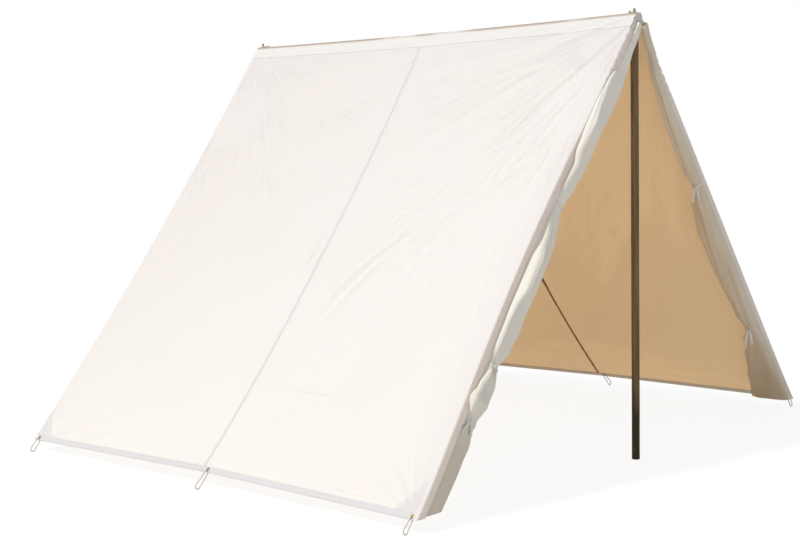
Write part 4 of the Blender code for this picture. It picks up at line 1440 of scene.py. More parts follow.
    def _eyelets(self, piece: Piece, places: Sequence[Matrix], hole: float) -> None:
        """Cut the holes for grommets whose own hole has this radius."""
        Bench.cut(piece, places, hole + self.shape.barrel_wall + self.shape.edge_gap / 2, self.drill_depth)

    def strip(self, name: str, side: Side, along: Place, down: Place, rise: float,
              counts: Faces) -> Piece:
        """Sewn strip that lies on a slope.

        Args:
            name: name of the piece.
            side: which slope.
            along: where it starts and ends, from the front edge.
            down: where it starts and ends, from the ridge line.
            rise: its outer face's height above the panel's.
            counts: faces along and down.

        Returns:
            The piece.
        """
        shape = self.shape

        def rule(across: Array, down_share: Array) -> Laid:
            """Even strip, charted along its longer way."""
            here = along[0] + across * (along[1] - along[0])
            low = down[0] + down_share * (down[1] - down[0])
            level = along[1] - along[0] > down[1] - down[0]
            chart = (here, low - down[0]) if level else (low, here - along[0])
            return self.layer(side, here, low, rise), stacked(*chart)

        # Strips on the slopes take the band finish, whose dark brown is painted shade of layered cloth
        # against the light.
        return Bench.smooth(self.sewn(name, counts, rule, (side.value * shape.out_x, 0.0, shape.out_z),
                                      shape.tape, Look.BAND))

    def patch(self, side: Side, end: End) -> Piece:
        """Three-cornered patch inside a hem corner.

        Args:
            side: which slope.
            end: which corner of it.

        Returns:
            The piece.
        """
        shape = self.shape
        band_top = shape.cloth_reach - shape.hem_band_width
        tall = shape.patch_size + shape.hem_band_width
        rise = -self.cloth - 2 * self.band_gap - shape.tape

        def rule(across: Array, down_share: Array) -> Laid:
            """Strip beside the edge that widens downwards."""
            down = band_top - shape.patch_size + down_share * (tall - shape.edge_gap)
            grown = (down - shape.cloth_reach + tall) / tall
            width = shape.patch_size * np.maximum(self.patch_tip_share, grown)
            along = self.behind_bend + across * width
            along = along if end is End.FRONT else shape.canvas_length - across * width
            return self.layer(side, along, down, rise), stacked(across * width, down - band_top)

        # Patches take the inside finish, with its painted glow of light through the cloth.
        piece = self.sewn(f"{side.word}_{end.value}_patch", self.patch_faces, rule,
                          (side.value * shape.out_x, 0.0, shape.out_z), shape.tape, Look.LINING)
        self._eyelets(piece, [shape.hem_places(side)[end.value]], shape.hem_hole)
        return Bench.smooth(piece)

    def ridge_band(self) -> Piece:
        """Band over the ridge, on the outside of both slopes."""
        shape = self.shape

        def rule(across: Array, over: Array) -> Laid:
            """Band down the left slope at first, and down the right one past the ridge."""
            signed = (2 * over - 1) * shape.ridge_band_reach
            along = across * shape.canvas_length
            rise = shape.lay_gap + shape.tape
            left, right = (self.layer(side, along, np.abs(signed), rise) for side in Side)
            points = np.where((signed < 0)[:, None], left, right)
            return points, stacked(along, signed + shape.ridge_band_reach)

        piece = self.sewn("ridge_reinforcement", self.ridge_faces, rule, (0.0, 0.0, 1.0), shape.tape,
                          Look.DOUBLE)
        for end in End:
            self._eyelets(piece, [shape.ridge_place(end)], shape.ridge_hole)
        return Bench.smooth(piece)

    def build(self) -> None:
        """Make both slopes and the band over the ridge."""
        shape = self.shape
        middle = shape.canvas_length / 2
        band_top = shape.cloth_reach - shape.hem_band_width
        under = -self.cloth - self.band_gap
        beside = (middle - shape.seam_width / 2, middle + shape.seam_width / 2)
        for side in Side:
            word = side.word
            front = self.panel(side, End.FRONT)
            rear = self.panel(side, End.REAR)
            seam = self.strip(f"{word}_seam_tape", side, beside,
                              (shape.ridge_band_reach, band_top - shape.edge_gap), under, self.seam_faces)
            hem = self.strip(f"{word}_hem_fold", side, (self.behind_bend, shape.canvas_length),
                             (band_top, shape.cloth_reach), under, self.hem_faces)
            self._eyelets(hem, list(shape.hem_places(side).values()), shape.hem_hole)
            patches = [self.patch(side, end) for end in End]
            self.hang(front, "canvas", f"{word}_slope_front_panel", f"{word}_door_facing")
            self.hang(rear, "canvas", f"{word}_slope_rear_panel")
            self.hang(seam, "sewn_band", f"{word}_slope_seam")
            self.hang(hem, "sewn_band", f"{word}_hem_band")
            for end, patch in zip(End, patches):
                self.hang(patch, "sewn_band", f"{word}_{end.value}_corner_patch")
        band = self.ridge_band()
        self.hang(band, "sewn_band", "ridge_band")


@dataclass
class RearWall(Tent):
    """Closed rear: two halves, their seam and the hem band."""

    cloth: float = 0.0014
    inset: float = 0.070
    pole_reach: float = 0.10
    billow: float = 0.020
    billow_fade: float = 1.1
    calmed: float = 0.8
    faces: Faces = (110, 170)
    seam_faces: Faces = (4, 160)
    hem_faces: Faces = (160, 5)
    area_share: float = 0.52

    def __post_init__(self) -> None:
        """Lay out the wall's creases."""
        self.creases = Creases(
            tuple(Wrinkle(*values) for values in (
                (((0.10, 0.35), (0.22, 0.85), (0.40, 1.30)), 0.022, 0.0040),
                (((-0.08, 0.30), (-0.25, 0.90), (-0.48, 1.35)), 0.022, 0.0036),
                (((1.35, 1.98), (1.00, 1.80), (0.62, 1.66)), 0.024, 0.0046),
                (((-1.35, 1.98), (-0.95, 1.82), (-0.55, 1.70)), 0.024, 0.0044),
                (((0.70, 1.60), (0.45, 1.78), (0.20, 1.92)), 0.018, 0.0030),
                (((-0.90, 1.95), (-0.60, 1.97), (-0.25, 1.95)), 0.014, 0.0030),
                (((-0.30, 0.70), (-0.36, 1.00), (-0.45, 1.22)), 0.016, 0.0028))),
            (Fan((0.0, -0.05), 0.0034, 0.12, 1.0, 24.0, 31),
             Fan((1.62, 2.05), 0.0030, 0.08, 0.7, 20.0, 32),
             Fan((-1.62, 2.05), 0.0030, 0.08, 0.7, 20.0, 33)))

    def rise_at(self, across: Array, height: Array, edge: Array) -> Array:
        """How far the wall's face moves in and out, which fades at its sewn edges and over the upright.

        Args:
            across: distance across from the middle.
            height: height above the ground.
            edge: the wall's half width at that height.

        Returns:
            The distance outwards at each place.
        """
        shape = self.shape
        held = eased((edge - np.abs(across)) / 0.10) * eased((height - shape.hem_height) / 0.06)
        fallen = shape.ridge_height - height
        bulge = np.cos(math.pi * across / (2 * edge + 0.02))
        billow = -self.billow * bulge * eased(fallen / self.billow_fade)
        backed = np.exp(-(across / self.pole_reach) ** 2)
        creases = self.creases.rise(across, fallen) * (1 - self.calmed * backed)
        return (creases + billow * (1 - backed)) * held

    def half(self, side: Side) -> Piece:
        """One half of the wall, as a piece.

        Args:
            side: which half.

        Returns:
            The piece.
        """
        shape = self.shape
        inner_y = shape.rear_y + shape.edge_gap

        def rule(inwards: Array, down_share: Array) -> Laid:
            """Level rows from the slope's rear edge to the middle."""
            down = ramp(down_share, ((0.0, shape.arc_x), (0.05, 0.03), (1.0, shape.cloth_reach)))
            edge = shape.point(side, np.full(down.shape, shape.canvas_length), down)
            across = edge[:, 0] * (1 - inwards) + side.value * shape.edge_gap / 2 * inwards
            rise = self.rise_at(across, edge[:, 2], np.abs(edge[:, 0]))
            points = stacked(across, inner_y + self.cloth + rise, edge[:, 2])
            return points, stacked(np.abs(across), edge[:, 2] - shape.hem_height)

        # The back takes the inside finish, whose tan is painted glow of light through the cloth.
        return Bench.smooth(self.sewn(f"rear_{side.word}_canvas", self.faces, rule, (0.0, 1.0, 0.0),
                                      self.cloth, Look.CANVAS, Look.LINING))

    def strip(self, name: str, half_width: float, low: float, high: float, back: float,
              counts: Faces) -> Piece:
        """Strip sewn to the wall.

        Args:
            name: name of the piece.
            half_width: how far it reaches to each side of the middle.
            low: height of its lower edge.
            high: height of its upper edge.
            back: how far it lies behind the wall's outer face.
            counts: faces across and up.

        Returns:
            The piece.
        """
        shape = self.shape
        outer_y = shape.rear_y + shape.edge_gap + self.cloth
        tall = high - low > 2 * half_width

        def rule(across: Array, up: Array) -> Laid:
            """Even strip that follows the wall, charted along its longer way."""
            x = (2 * across - 1) * half_width
            z = low + up * (high - low)
            edge = np.interp(z, [shape.hem_height, shape.ridge_height], [shape.hem_spread / 2, shape.arc_x])
            y = outer_y - back + self.rise_at(x, z, edge)
            return stacked(x, y, z), stacked(*((z, x + half_width) if tall else (x, z - low)))

        # The hem inside takes the band finish, painted shade of layered cloth against the light; the seam
        # outside takes the canvas finish.
        return Bench.smooth(self.sewn(name, counts, rule, (0.0, 1.0, 0.0), shape.tape,
                                      Look.CANVAS if back < 0 else Look.BAND))

    def build(self) -> None:
        """Make the rear wall."""
        shape = self.shape
        halves = {side: self.half(side) for side in Side}
        seam = self.strip("rear_seam_tape", shape.seam_width / 2, shape.hem_height,
                          shape.ridge_height - shape.arc_radius, -shape.lay_gap - shape.tape,
                          self.seam_faces)
        hem = self.strip("rear_hem_fold", shape.hem_spread / 2 - self.inset, shape.hem_height,
                         shape.hem_height + shape.hem_band_width, self.cloth + shape.lay_gap,
                         self.hem_faces)
        for side, half in halves.items():
            self.hang(half, "canvas", f"rear_wall_{side.word}")
        self.hang(seam, "sewn_band", "rear_wall_seam")
        self.hang(hem, "sewn_band", "rear_hem_band")


@dataclass(frozen=True)
class Tie:
    """A tape round a gathered flap, whose tails lie along the flap or hang free."""

    level: str
    drop_share: float
    knot_turn: float
    tails: Place
    hangs: bool = False


@dataclass(frozen=True)
class Gathers:
    """How one door flap is gathered: its sections, as shares of a common size, and its ties.

    Each row holds a share of the door seam's length, then the middle's distances inwards and
    forwards from the seam, the two half widths, and how far the section leans inwards.
    """

    rows: tuple[tuple[float, ...], ...]
    ties: tuple[Tie, ...]
    squareness: float
    fold_phase: float
    fold_share: float


@dataclass
class Doors(Tent):
    """Both door flaps, rolled and gathered along the door seams, with their ties."""

    cloth: float = 0.0011
    gather: float = 0.10
    start: float = 0.030
    layer_share: float = 0.115
    turns_top: float = 1.15
    turns_foot: float = 7.4
    winding_power: float = 1.8
    pull_share: float = 0.022
    curtain_faces: Faces = (200, 235)
    row_crowding: float = 3.0
    row_reach: float = 0.07
    squeeze: float = 0.36
    grip: float = 0.011
    ease: float = 0.085
    shift: float = 0.10
    folds: int = 5
    fold_turns: float = 1.2
    pleats: int = 17
    pleat_share: float = 0.055
    pleat_reach: float = 0.085
    tie_width: float = 0.016
    strap_wave: float = 0.0012
    strap_lift: float = 0.0016
    strap_crown: float = 0.0010
    strap_reach: float = 0.004
    strap_length: float = 0.22
    strap_faces: Faces = (90, 6)
    tail_faces: Faces = (6, 22)
    tail_taper: float = 0.8
    tail_curl: float = 0.0016
    tail_spread: float = 0.30
    knot: Place = (0.0062, 0.0030)
    knot_out: float = 0.007
    roll_girth: float = 0.19
    area_share: float = 0.5
    blend: Place = (0.005, 0.040)
    level_run: float = 1.0

    GATHERS = {
        Side.LEFT: Gathers(
            rows=((0.00, -0.02, 0.11, 0.15, 0.09, 0.0), (0.055, 0.20, -0.03, 0.24, 0.08, 0.0),
                  (0.10, 0.35, -0.05, 0.36, 0.09, 0.0), (0.145, 0.20, 0.105, 0.54, 0.095, 0.2),
                  (0.19, 0.12, 0.165, 0.52, 0.155, 0.4), (0.24, 0.05, 0.235, 0.40, 0.225, 0.4),
                  (0.285, 0.20, 0.185, 0.44, 0.175, 0.3), (0.32, 0.34, 0.09, 0.32, 0.20, 0.3),
                  (0.36, 0.34, 0.04, 0.34, 0.16, 0.2), (0.40, 0.43, -0.04, 0.42, 0.12, 0.1),
                  (0.425, 0.42, 0.00, 0.38, 0.15, 0.2), (0.47, 0.52, 0.12, 0.38, 0.22, 0.3),
                  (0.515, 0.40, 0.22, 0.36, 0.34, 0.25), (0.57, 0.40, 0.22, 0.37, 0.36, 0.25),
                  (0.61, 0.46, 0.12, 0.47, 0.26, 0.25), (0.645, 0.53, 0.08, 0.52, 0.23, 0.25),
                  (0.68, 0.45, 0.06, 0.44, 0.24, 0.25), (0.71, 0.44, 0.02, 0.44, 0.20, 0.2),
                  (0.735, 0.41, 0.12, 0.38, 0.26, 0.25), (0.765, 0.42, 0.06, 0.48, 0.22, 0.2),
                  (0.79, 0.22, 0.215, 0.50, 0.205, 0.3), (0.822, 0.48, -0.02, 0.48, 0.14, 0.1),
                  (0.85, 0.50, -0.08, 0.48, 0.11, 0.0), (0.89, 0.46, -0.07, 0.45, 0.10, 0.0),
                  (1.00, 0.40, -0.07, 0.39, 0.10, 0.0)),
            ties=(Tie("upper", 0.39, 0.60, (0.030, 0.045)),
                  Tie("middle", 0.71, 0.22, (0.030, 0.040)),
                  Tie("lower", 0.812, 0.19, (0.050, 0.075))),
            squareness=3.4, fold_phase=0.6, fold_share=0.055),
        Side.RIGHT: Gathers(
            rows=((0.00, -0.02, 0.23, 0.15, 0.14, 0.0), (0.06, 0.14, 0.14, 0.20, 0.16, 0.0),
                  (0.12, 0.26, -0.04, 0.24, 0.22, 0.0), (0.24, 0.32, -0.14, 0.28, 0.28, 0.0),
                  (0.37, 0.33, -0.18, 0.28, 0.30, 0.0), (0.42, 0.35, -0.34, 0.30, 0.42, 0.0),
                  (0.50, 0.36, -0.46, 0.31, 0.54, 0.0), (0.62, 0.36, -0.44, 0.31, 0.54, 0.0),
                  (0.71, 0.36, -0.36, 0.30, 0.46, 0.0), (0.76, 0.35, -0.36, 0.28, 0.44, 0.0),
                  (0.80, 0.33, -0.46, 0.26, 0.52, 0.0), (0.86, 0.30, -0.68, 0.24, 0.72, 0.0),
                  (0.93, 0.27, -0.88, 0.21, 0.92, 0.0), (1.00, 0.25, -1.00, 0.18, 1.04, 0.0)),
            ties=(Tie("upper", 0.363, 0.36, (0.050, 0.075), True),
                  Tie("lower", 0.748, 0.38, (0.075, 0.100), True)),
            squareness=2.6, fold_phase=2.1, fold_share=0.17),
    }

    def grip_at(self, side: Side, run: Array, ease: float) -> Array:
        """How firmly a tie holds the cloth: 1 under a tie, 0 away from it.

        Args:
            side: which door.
            run: distance down the door seam.
            ease: distance over which the hold fades.

        Returns:
            The hold at each place.
        """
        grip = np.zeros(run.shape)
        for tie in self.GATHERS[side].ties:
            away = np.abs(run - tie.drop_share * self.shape.slope_length) - self.grip
            grip = np.maximum(grip, eased(1 - away / ease))
        return grip

    def section(self, side: Side, run: Array, wound: Array, grow: float = 0.0) -> Array:
        """Points of the rolled flap.

        Args:
            side: which door.
            run: distance down the door seam.
            wound: turns round the roll, from the seam inwards.
            grow: distance outside the cloth.

        Returns:
            The points, one in each row.
        """
        shape, gathers = self.shape, self.GATHERS[side]
        share = np.clip(run / shape.flap_end, 0.0, 1.0)
        marks = [row[0] for row in gathers.rows]
        nearest = np.clip(np.searchsorted(marks, share, side="right") - 1, 0, len(marks) - 2)
        table = np.array(gathers.rows)
        low, high = table[nearest], table[nearest + 1]
        ease = eased((share - low[:, 0]) / (high[:, 0] - low[:, 0]))[:, None]
        *sizes, slant = (low[:, 1:] + ease * (high[:, 1:] - low[:, 1:])).T
        inwards, forwards, half_in, half_fore = (self.gather * size for size in sizes)
        seam_in, seam_fore = self._seam(side, run)
        grip = self.grip_at(side, run, self.ease)
        tight = 1 - self.squeeze * grip
        inwards = inwards * (1 - self.shift * grip)
        forwards = forwards * (1 - self.shift * grip)
        to_seam = np.arctan2(-forwards, -inwards)
        turn = to_seam - TURN * wound
        power = gathers.squareness
        across, fore = np.cos(turn), np.sin(turn)
        square = (np.abs(across) ** power + np.abs(fore) ** power) ** (-1 / power)
        near_seam = np.abs(np.sin((turn - to_seam) / 2))
        drift = TURN * self.fold_turns * run / shape.slope_length + gathers.fold_phase
        waves = (np.cos(self.folds * turn + drift) + 0.7 * np.cos(3 * turn - 2.6 * drift)
                 + 0.5 * np.cos(9 * turn + 4.3 * drift)) / 1.5
        fold = gathers.fold_share * (1 - 0.8 * grip) * waves
        close = np.zeros(run.shape)
        for tie in gathers.ties:
            away = np.abs(run - tie.drop_share * shape.slope_length)
            close = np.maximum(close, np.exp(-((away - 0.05) / self.pleat_reach) ** 2) * (away > self.grip))
        pleat = self.pleat_share * (0.25 + close) * np.cos(self.pleats * turn + 1.7 * drift)
        size = square * (1 + near_seam * (fold + pleat)) * (1 - self.layer_share * wound)
        from_in = inwards + (half_in * tight * size + grow * square) * across
        from_fore = forwards + (half_fore * tight * size + grow * square) * fore
        from_in += slant * (from_fore - forwards)
        return shape.door_point(side, run, seam_in + from_in, seam_fore + from_fore)

    def _seam(self, side: Side, run: Array) -> Laid:
        """How far the sewn seam lies inwards and forwards of its straight line."""
        down = self.shape.slope_start + run
        return self.shape.sink_at(np.zeros(run.shape), down), -self.shape.bow_at(side, down)

    def curtain(self, side: Side) -> Piece:
        """The whole flap, from the apex to the ground.

        Args:
            side: which door.

        Returns:
            The piece.
        """
        shape = self.shape

        def rule(across: Array, down_share: Array) -> Laid:
            """Cloth wound round the roll, whose first edge is pulled to the seam."""
            run = self._crowded(side, down_share)
            turns = self.turns_top + (self.turns_foot - self.turns_top) * run / shape.flap_end
            wound = turns * across ** self.winding_power
            points = self.section(side, run, wound)
            seam_in, seam_fore = self._seam(side, run)
            seam = shape.door_point(side, run, seam_in + shape.edge_gap, seam_fore)
            pull = np.clip(1 - across / self.pull_share, 0.0, 1.0)[:, None] ** 1.5
            points = points * (1 - pull) + seam * pull
            return points, stacked(across * 1.1, shape.flap_end - run)

        piece = Bench.laid(f"{side.word}_door_curtain", *self.curtain_faces, rule)
        self._turn_layers_out(piece)
        look = Look.DOOR if side is Side.LEFT else Look.SHADED_DOOR
        self.wardrobe.dress(piece, look)
        Bench.modify(piece, "SOLIDIFY", thickness=self.cloth, offset=0.0)
        return Bench.smooth(piece)

    def _crowded(self, side: Side, share: Array) -> Array:
        """Distance down the door seam, with the rows crowded near the ties.

        Args:
            side: which door.
            share: share of the rows.

        Returns:
            The distance for each share.
        """
        run = np.linspace(self.start, self.shape.flap_end, 1200)
        crowd = np.ones(run.shape)
        for tie in self.GATHERS[side].ties:
            away = run - tie.drop_share * self.shape.slope_length
            crowd += self.row_crowding * np.exp(-(away / self.row_reach) ** 2)
        filled = np.concatenate([[0.0], np.cumsum((crowd[1:] + crowd[:-1]) / 2)])
        return np.interp(share, filled / filled[-1], run)

    def _turn_layers_out(self, piece: Piece) -> None:
        """Make the outermost layer look forwards where it faces the front."""
        faces = [face for face in piece.data.polygons if face.center.z < 1.4]
        front = min(faces, key=lambda face: face.center.y)
        if front.normal.y > 0:
            Bench.flip(piece)

    def tie(self, side: Side, tie: Tie) -> Piece:
        """Strap round the flap, its knot and its two tails.

        Args:
            side: which door.
            tie: which of its ties.

        Returns:
            All of them as one piece.
        """
        run_at = tie.drop_share * self.shape.slope_length
        name = f"{side.word}_{tie.level}_tape"

        def strap(across: Array, down_share: Array) -> Laid:
            """Crowned tape round the roll, from one side of the seam to the other."""
            wave = self.strap_wave * np.sin(across * TURN * 3)
            run = run_at + (down_share - 0.5) * self.tie_width + wave
            crown = self.strap_lift + self.strap_crown * np.sin(math.pi * down_share)
            around = 0.02 + across * 0.96
            inner = self.section(side, run, around)
            outer = self.section(side, run, around, self.strap_reach)
            points = inner + (outer - inner) * (crown / self.strap_reach)[:, None]
            return points, stacked(across * self.strap_length, down_share * self.tie_width)

        band = Bench.laid(name, *self.strap_faces, strap)
        self._face_away(band, self._axis_point(side, run_at))
        self.wardrobe.dress(band, Look.TAPE, Look.TAPE)
        Bench.thicken(band, -self.shape.tape)
        knot_at = self._knot_place(side, tie)
        knot = Knot(*self.knot).build(f"{name}_knot", knot_at, self.wardrobe)
        tails = [self._tail(side, tie, knot_at, number) for number in range(2)]
        return Bench.smooth(Bench.joined(band, knot, *tails))

    def _axis_point(self, side: Side, run: float) -> Array:
        """Middle of the roll at a place down the seam."""
        around = np.arange(0, 1, 0.125)
        return self.section(side, np.full(around.shape, run), around).mean(axis=0)

    def _face_away(self, piece: Piece, middle: Array) -> None:
        """Turn a strap's faces away from the roll's middle."""
        face = piece.data.polygons[len(piece.data.polygons) // 2]
        if (np.array(face.center) - middle) @ np.array(face.normal) < 0:
            Bench.flip(piece)

    def _knot_place(self, side: Side, tie: Tie) -> Vector:
        """Where the knot sits on the strap."""
        run = np.array([tie.drop_share * self.shape.slope_length])
        return Vector(self.section(side, run, np.array([tie.knot_turn]), self.knot_out)[0])

    def _tail(self, side: Side, tie: Tie, knot_at: Vector, number: int) -> Piece:
        """One loose end of the tape.

        Args:
            side: which door.
            tie: the tape that it belongs to.
            knot_at: where its knot sits.
            number: 0 or 1.

        Returns:
            The piece.
        """
        length = tie.tails[number]
        spread = (number - 0.5) * 2
        run_at = tie.drop_share * self.shape.slope_length
        lead = Vector((-side.value * 0.55, -0.35, 0.0)).normalized()
        aside = Vector((lead.y, -lead.x, 0.0)) * side.value

        def rule(across: Array, down_share: Array) -> Laid:
            """Tape that falls from the knot, along the flap or free."""
            fall = down_share * length
            offset = (across - 0.5) * self.tie_width * self.tail_taper
            curl = self.tail_curl * np.cos(across * TURN * 0.5 + down_share * 5 + number)
            chart = stacked(fall, across * self.tie_width)
            if not tie.hangs:
                beside = offset + spread * (0.003 + self.tail_spread * fall)
                out = 0.0042 + curl + 0.005 * down_share * np.sin(2.5 * down_share + number)
                return self.section(side, run_at + fall, tie.knot_turn - beside / self.roll_girth, out), chart
            out = 0.006 * np.sin(down_share * 2.4) + 0.006 * down_share * (number + 0.3) + curl
            sway = offset + spread * (0.004 + self.tail_spread * fall * (1 - 0.5 * down_share))
            points = (np.array(knot_at)[None, :] + np.outer(out, np.array(lead))
                      + np.outer(sway, np.array(aside)))
            points[:, 2] -= fall
            return points, chart

        return self.sewn(f"{side.word}_{tie.level}_tail_{number}", self.tail_faces, rule, (-1.0, -0.6, 0.0),
                         self.shape.tape, Look.TAPE)

    def _beside_seam(self, side: Side, away: float) -> Point:
        """Place at a distance from the door seam, square to the plane that the curved seam lies in.

        Args:
            side: which door.
            away: distance from that plane.

        Returns:
            The place.
        """
        sag, fore = self._seam(side, np.array([self.shape.slope_length / 2]))
        reach = math.copysign(away / math.hypot(sag[0], fore[0]), -fore[0])
        place = self.shape.door_point(side, np.array([self.level_run]), -fore * reach, sag * reach)
        return tuple(float(value) for value in place[0])

    def build(self) -> None:
        """Make both flaps and their ties."""
        for side in Side:
            word = side.word
            flap = self.curtain(side)
            start, end = (self._beside_seam(side, away) for away in self.blend)
            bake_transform(flap)
            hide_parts(f"{word}_flap_head", f"{word}_door_flap")
            for tie in self.GATHERS[side].ties:
                piece = self.tie(side, tie)
                self.hang(piece, "tape", f"{word}_{tie.level}_tie", body=f"{word}_door")
            log.info("%s: %d faces", flap.name, len(flap.data.polygons))


@dataclass(frozen=True)
class Knot:
    """An overhand knot, as one closed tube."""

    size: float
    radius: float
    steps: int = 54
    sides: int = 10

    def build(self, name: str, middle: Vector, wardrobe: Wardrobe, look: Look = Look.TAPE) -> Piece:
        """Make the knot.

        Args:
            name: name of the piece.
            middle: where it sits.
            wardrobe: the finishes.
            look: its finish.

        Returns:
            The piece.
        """
        def rule(across: Array, around: Array) -> Laid:
            """Tube round a trefoil line."""
            turn = TURN * across
            line = stacked(np.sin(turn) + 2 * np.sin(2 * turn), -np.sin(3 * turn) * 0.9,
                           np.cos(turn) - 2 * np.cos(2 * turn)) * self.size / 3
            ahead = stacked(np.cos(turn) + 4 * np.cos(2 * turn), -3 * np.cos(3 * turn) * 0.9,
                            -np.sin(turn) + 4 * np.sin(2 * turn))
            return self._tube(line + np.array(middle), ahead, around), stacked(across * 0.1, around * 0.02)

        return Bench.weld(wardrobe.dress(Bench.laid(name, self.steps, self.sides, rule), look))

    def _tube(self, line: Array, ahead: Array, around: Array) -> Array:
        """Points round a line that never runs along its own guide.

        Args:
            line: the middle line.
            ahead: its direction.
            around: shares of a turn.

        Returns:
            The points, one in each row.
        """
        ahead = ahead / np.linalg.norm(ahead, axis=1)[:, None]
        first = np.cross(ahead, np.array([[0.0, 1.0, 0.0]]))
        first /= np.linalg.norm(first, axis=1)[:, None]
        second = np.cross(ahead, first)
        turn = TURN * around
        return line + self.radius * (first * np.cos(turn)[:, None] + second * np.sin(turn)[:, None])


def evened(route: Array, steps: int) -> Array:
    """Closed route with its points at even distances.

    Args:
        route: points, one in each row; the last one leads back to the first.
        steps: how many points are wanted.

    Returns:
        The new points.
    """
    line = np.vstack([route, route[:1]])
    gone = np.concatenate([[0.0], np.cumsum(np.linalg.norm(np.diff(line, axis=0), axis=1))])
    wanted = np.linspace(0.0, gone[-1], steps, endpoint=False)
    return np.stack([np.interp(wanted, gone, line[:, axis]) for axis in range(line.shape[1])], axis=1)


def belt(small: float, large: float, distance: float) -> Array:
    """Closed route round two circles.

    Args:
        small: radius of the circle at 0.
        large: radius of the circle at the distance.
        distance: distance between their middles.

    Returns:
        Points: distance from the small circle's middle, then the place across.
    """
    lean = math.acos((small - large) / distance)
    far = np.linspace(-lean, lean, 40)
    near = np.linspace(lean, TURN - lean, 40)
    arcs = [stacked(distance + large * np.cos(far), large * np.sin(far)),
            stacked(small * np.cos(near), small * np.sin(near))]
    return np.vstack(arcs)


@dataclass
class Ropework(Tent):
    """Peg loops and ridge loops of laid cord."""

    peg_cord: float = 0.0025
    peg_top: float = 0.009
    peg_eye: float = 0.013
    band_settle: float = 0.0023
    corner_settle: float = 0.0014
    ridge_cord: float = 0.002
    strands: int = 3
    lay_pitch: float = 0.015
    strand_depth: float = 0.22
    steps: int = 240
    sides: int = 21
    knot: Place = (0.0060, 0.0024)

    RIDGE_REACH = {End.FRONT: 0.020, End.REAR: 0.045}

    def cord(self, name: str, route: Array, radius: float) -> Piece:
        """Closed loop of laid cord.

        Args:
            name: name of the piece.
            route: its middle line.
            radius: its radius over the strands.

        Returns:
            The piece.
        """
        line = evened(route, self.steps)
        length = float(np.linalg.norm(np.diff(line, axis=0), axis=1).sum())
        lays = round(length / self.lay_pitch)

        def size(across: Array, around: Array) -> Array:
            """Radius over the strands, which wind round the cord."""
            lobes = np.abs(np.cos(math.pi * (self.strands * around + lays * across)))
            return radius * (1 - self.strand_depth * (1 - lobes ** 0.7))

        return Bench.smooth(self.wardrobe.dress(Bench.looped(name, line, self.sides, size), Look.CORD))

    def peg_route(self, place: Matrix, stack: float, settle: float) -> Array:
        """Line of a cord that hangs in a hem grommet and lies on the ground.

        Args:
            place: the grommet's place.
            stack: thickness of the cloth in the grommet.
            settle: how far the cord's middle lies below the hole's.

        Returns:
            The line.
        """
        middle = place @ Matrix.Translation((0.0, 0.0, -stack / 2))
        top = settle + self.peg_top
        distance = (middle.translation.z - self.peg_eye - self.peg_cord) / middle.col[1].z - top
        flat = belt(self.peg_top, self.peg_eye, distance)
        return np.array([middle @ Vector((0.0, -top - down, out)) for down, out in flat])

    def ridge_loop(self, end: End) -> Piece:
        """Cord round a pin, on the ridge grommet, with a knot in the front one.

        Args:
            end: which end of the ridge.

        Returns:
            The piece.
        """
        shape = self.shape
        small = shape.pin_radius + shape.edge_gap + self.ridge_cord
        place = shape.ridge_place(end)
        height = place.translation.z + 2 * shape.edge_gap + shape.flange + self.ridge_cord
        inwards = 1 if end is End.FRONT else -1
        flat = belt(small, small, self.RIDGE_REACH[end])
        route = stacked(flat[:, 1], place.translation.y + inwards * flat[:, 0], np.full(len(flat), height))
        loop = self.cord(f"{end.value}_ridge_cord", route, self.ridge_cord)
        if end is End.FRONT:
            knot_at = Vector((-small, place.translation.y + self.RIDGE_REACH[end], height + self.ridge_cord))
            knot = Knot(*self.knot).build("front_ridge_knot", knot_at, self.wardrobe, Look.CORD)
            Bench.joined(loop, knot)
        return loop

    def build(self) -> None:
        """Make the loops."""
        for name, place, stack in self.shape.hem_fittings():
            settle = self.band_settle if stack == self.shape.hem_stack else self.corner_settle
            loop = self.cord(f"{name}_peg_cord", self.peg_route(place, stack, settle), self.peg_cord)
            self.hang(loop, "cord", f"{name}_peg_loop")
        for end in End:
            self.hang(self.ridge_loop(end), "cord", f"{end.value}_ridge_loop")


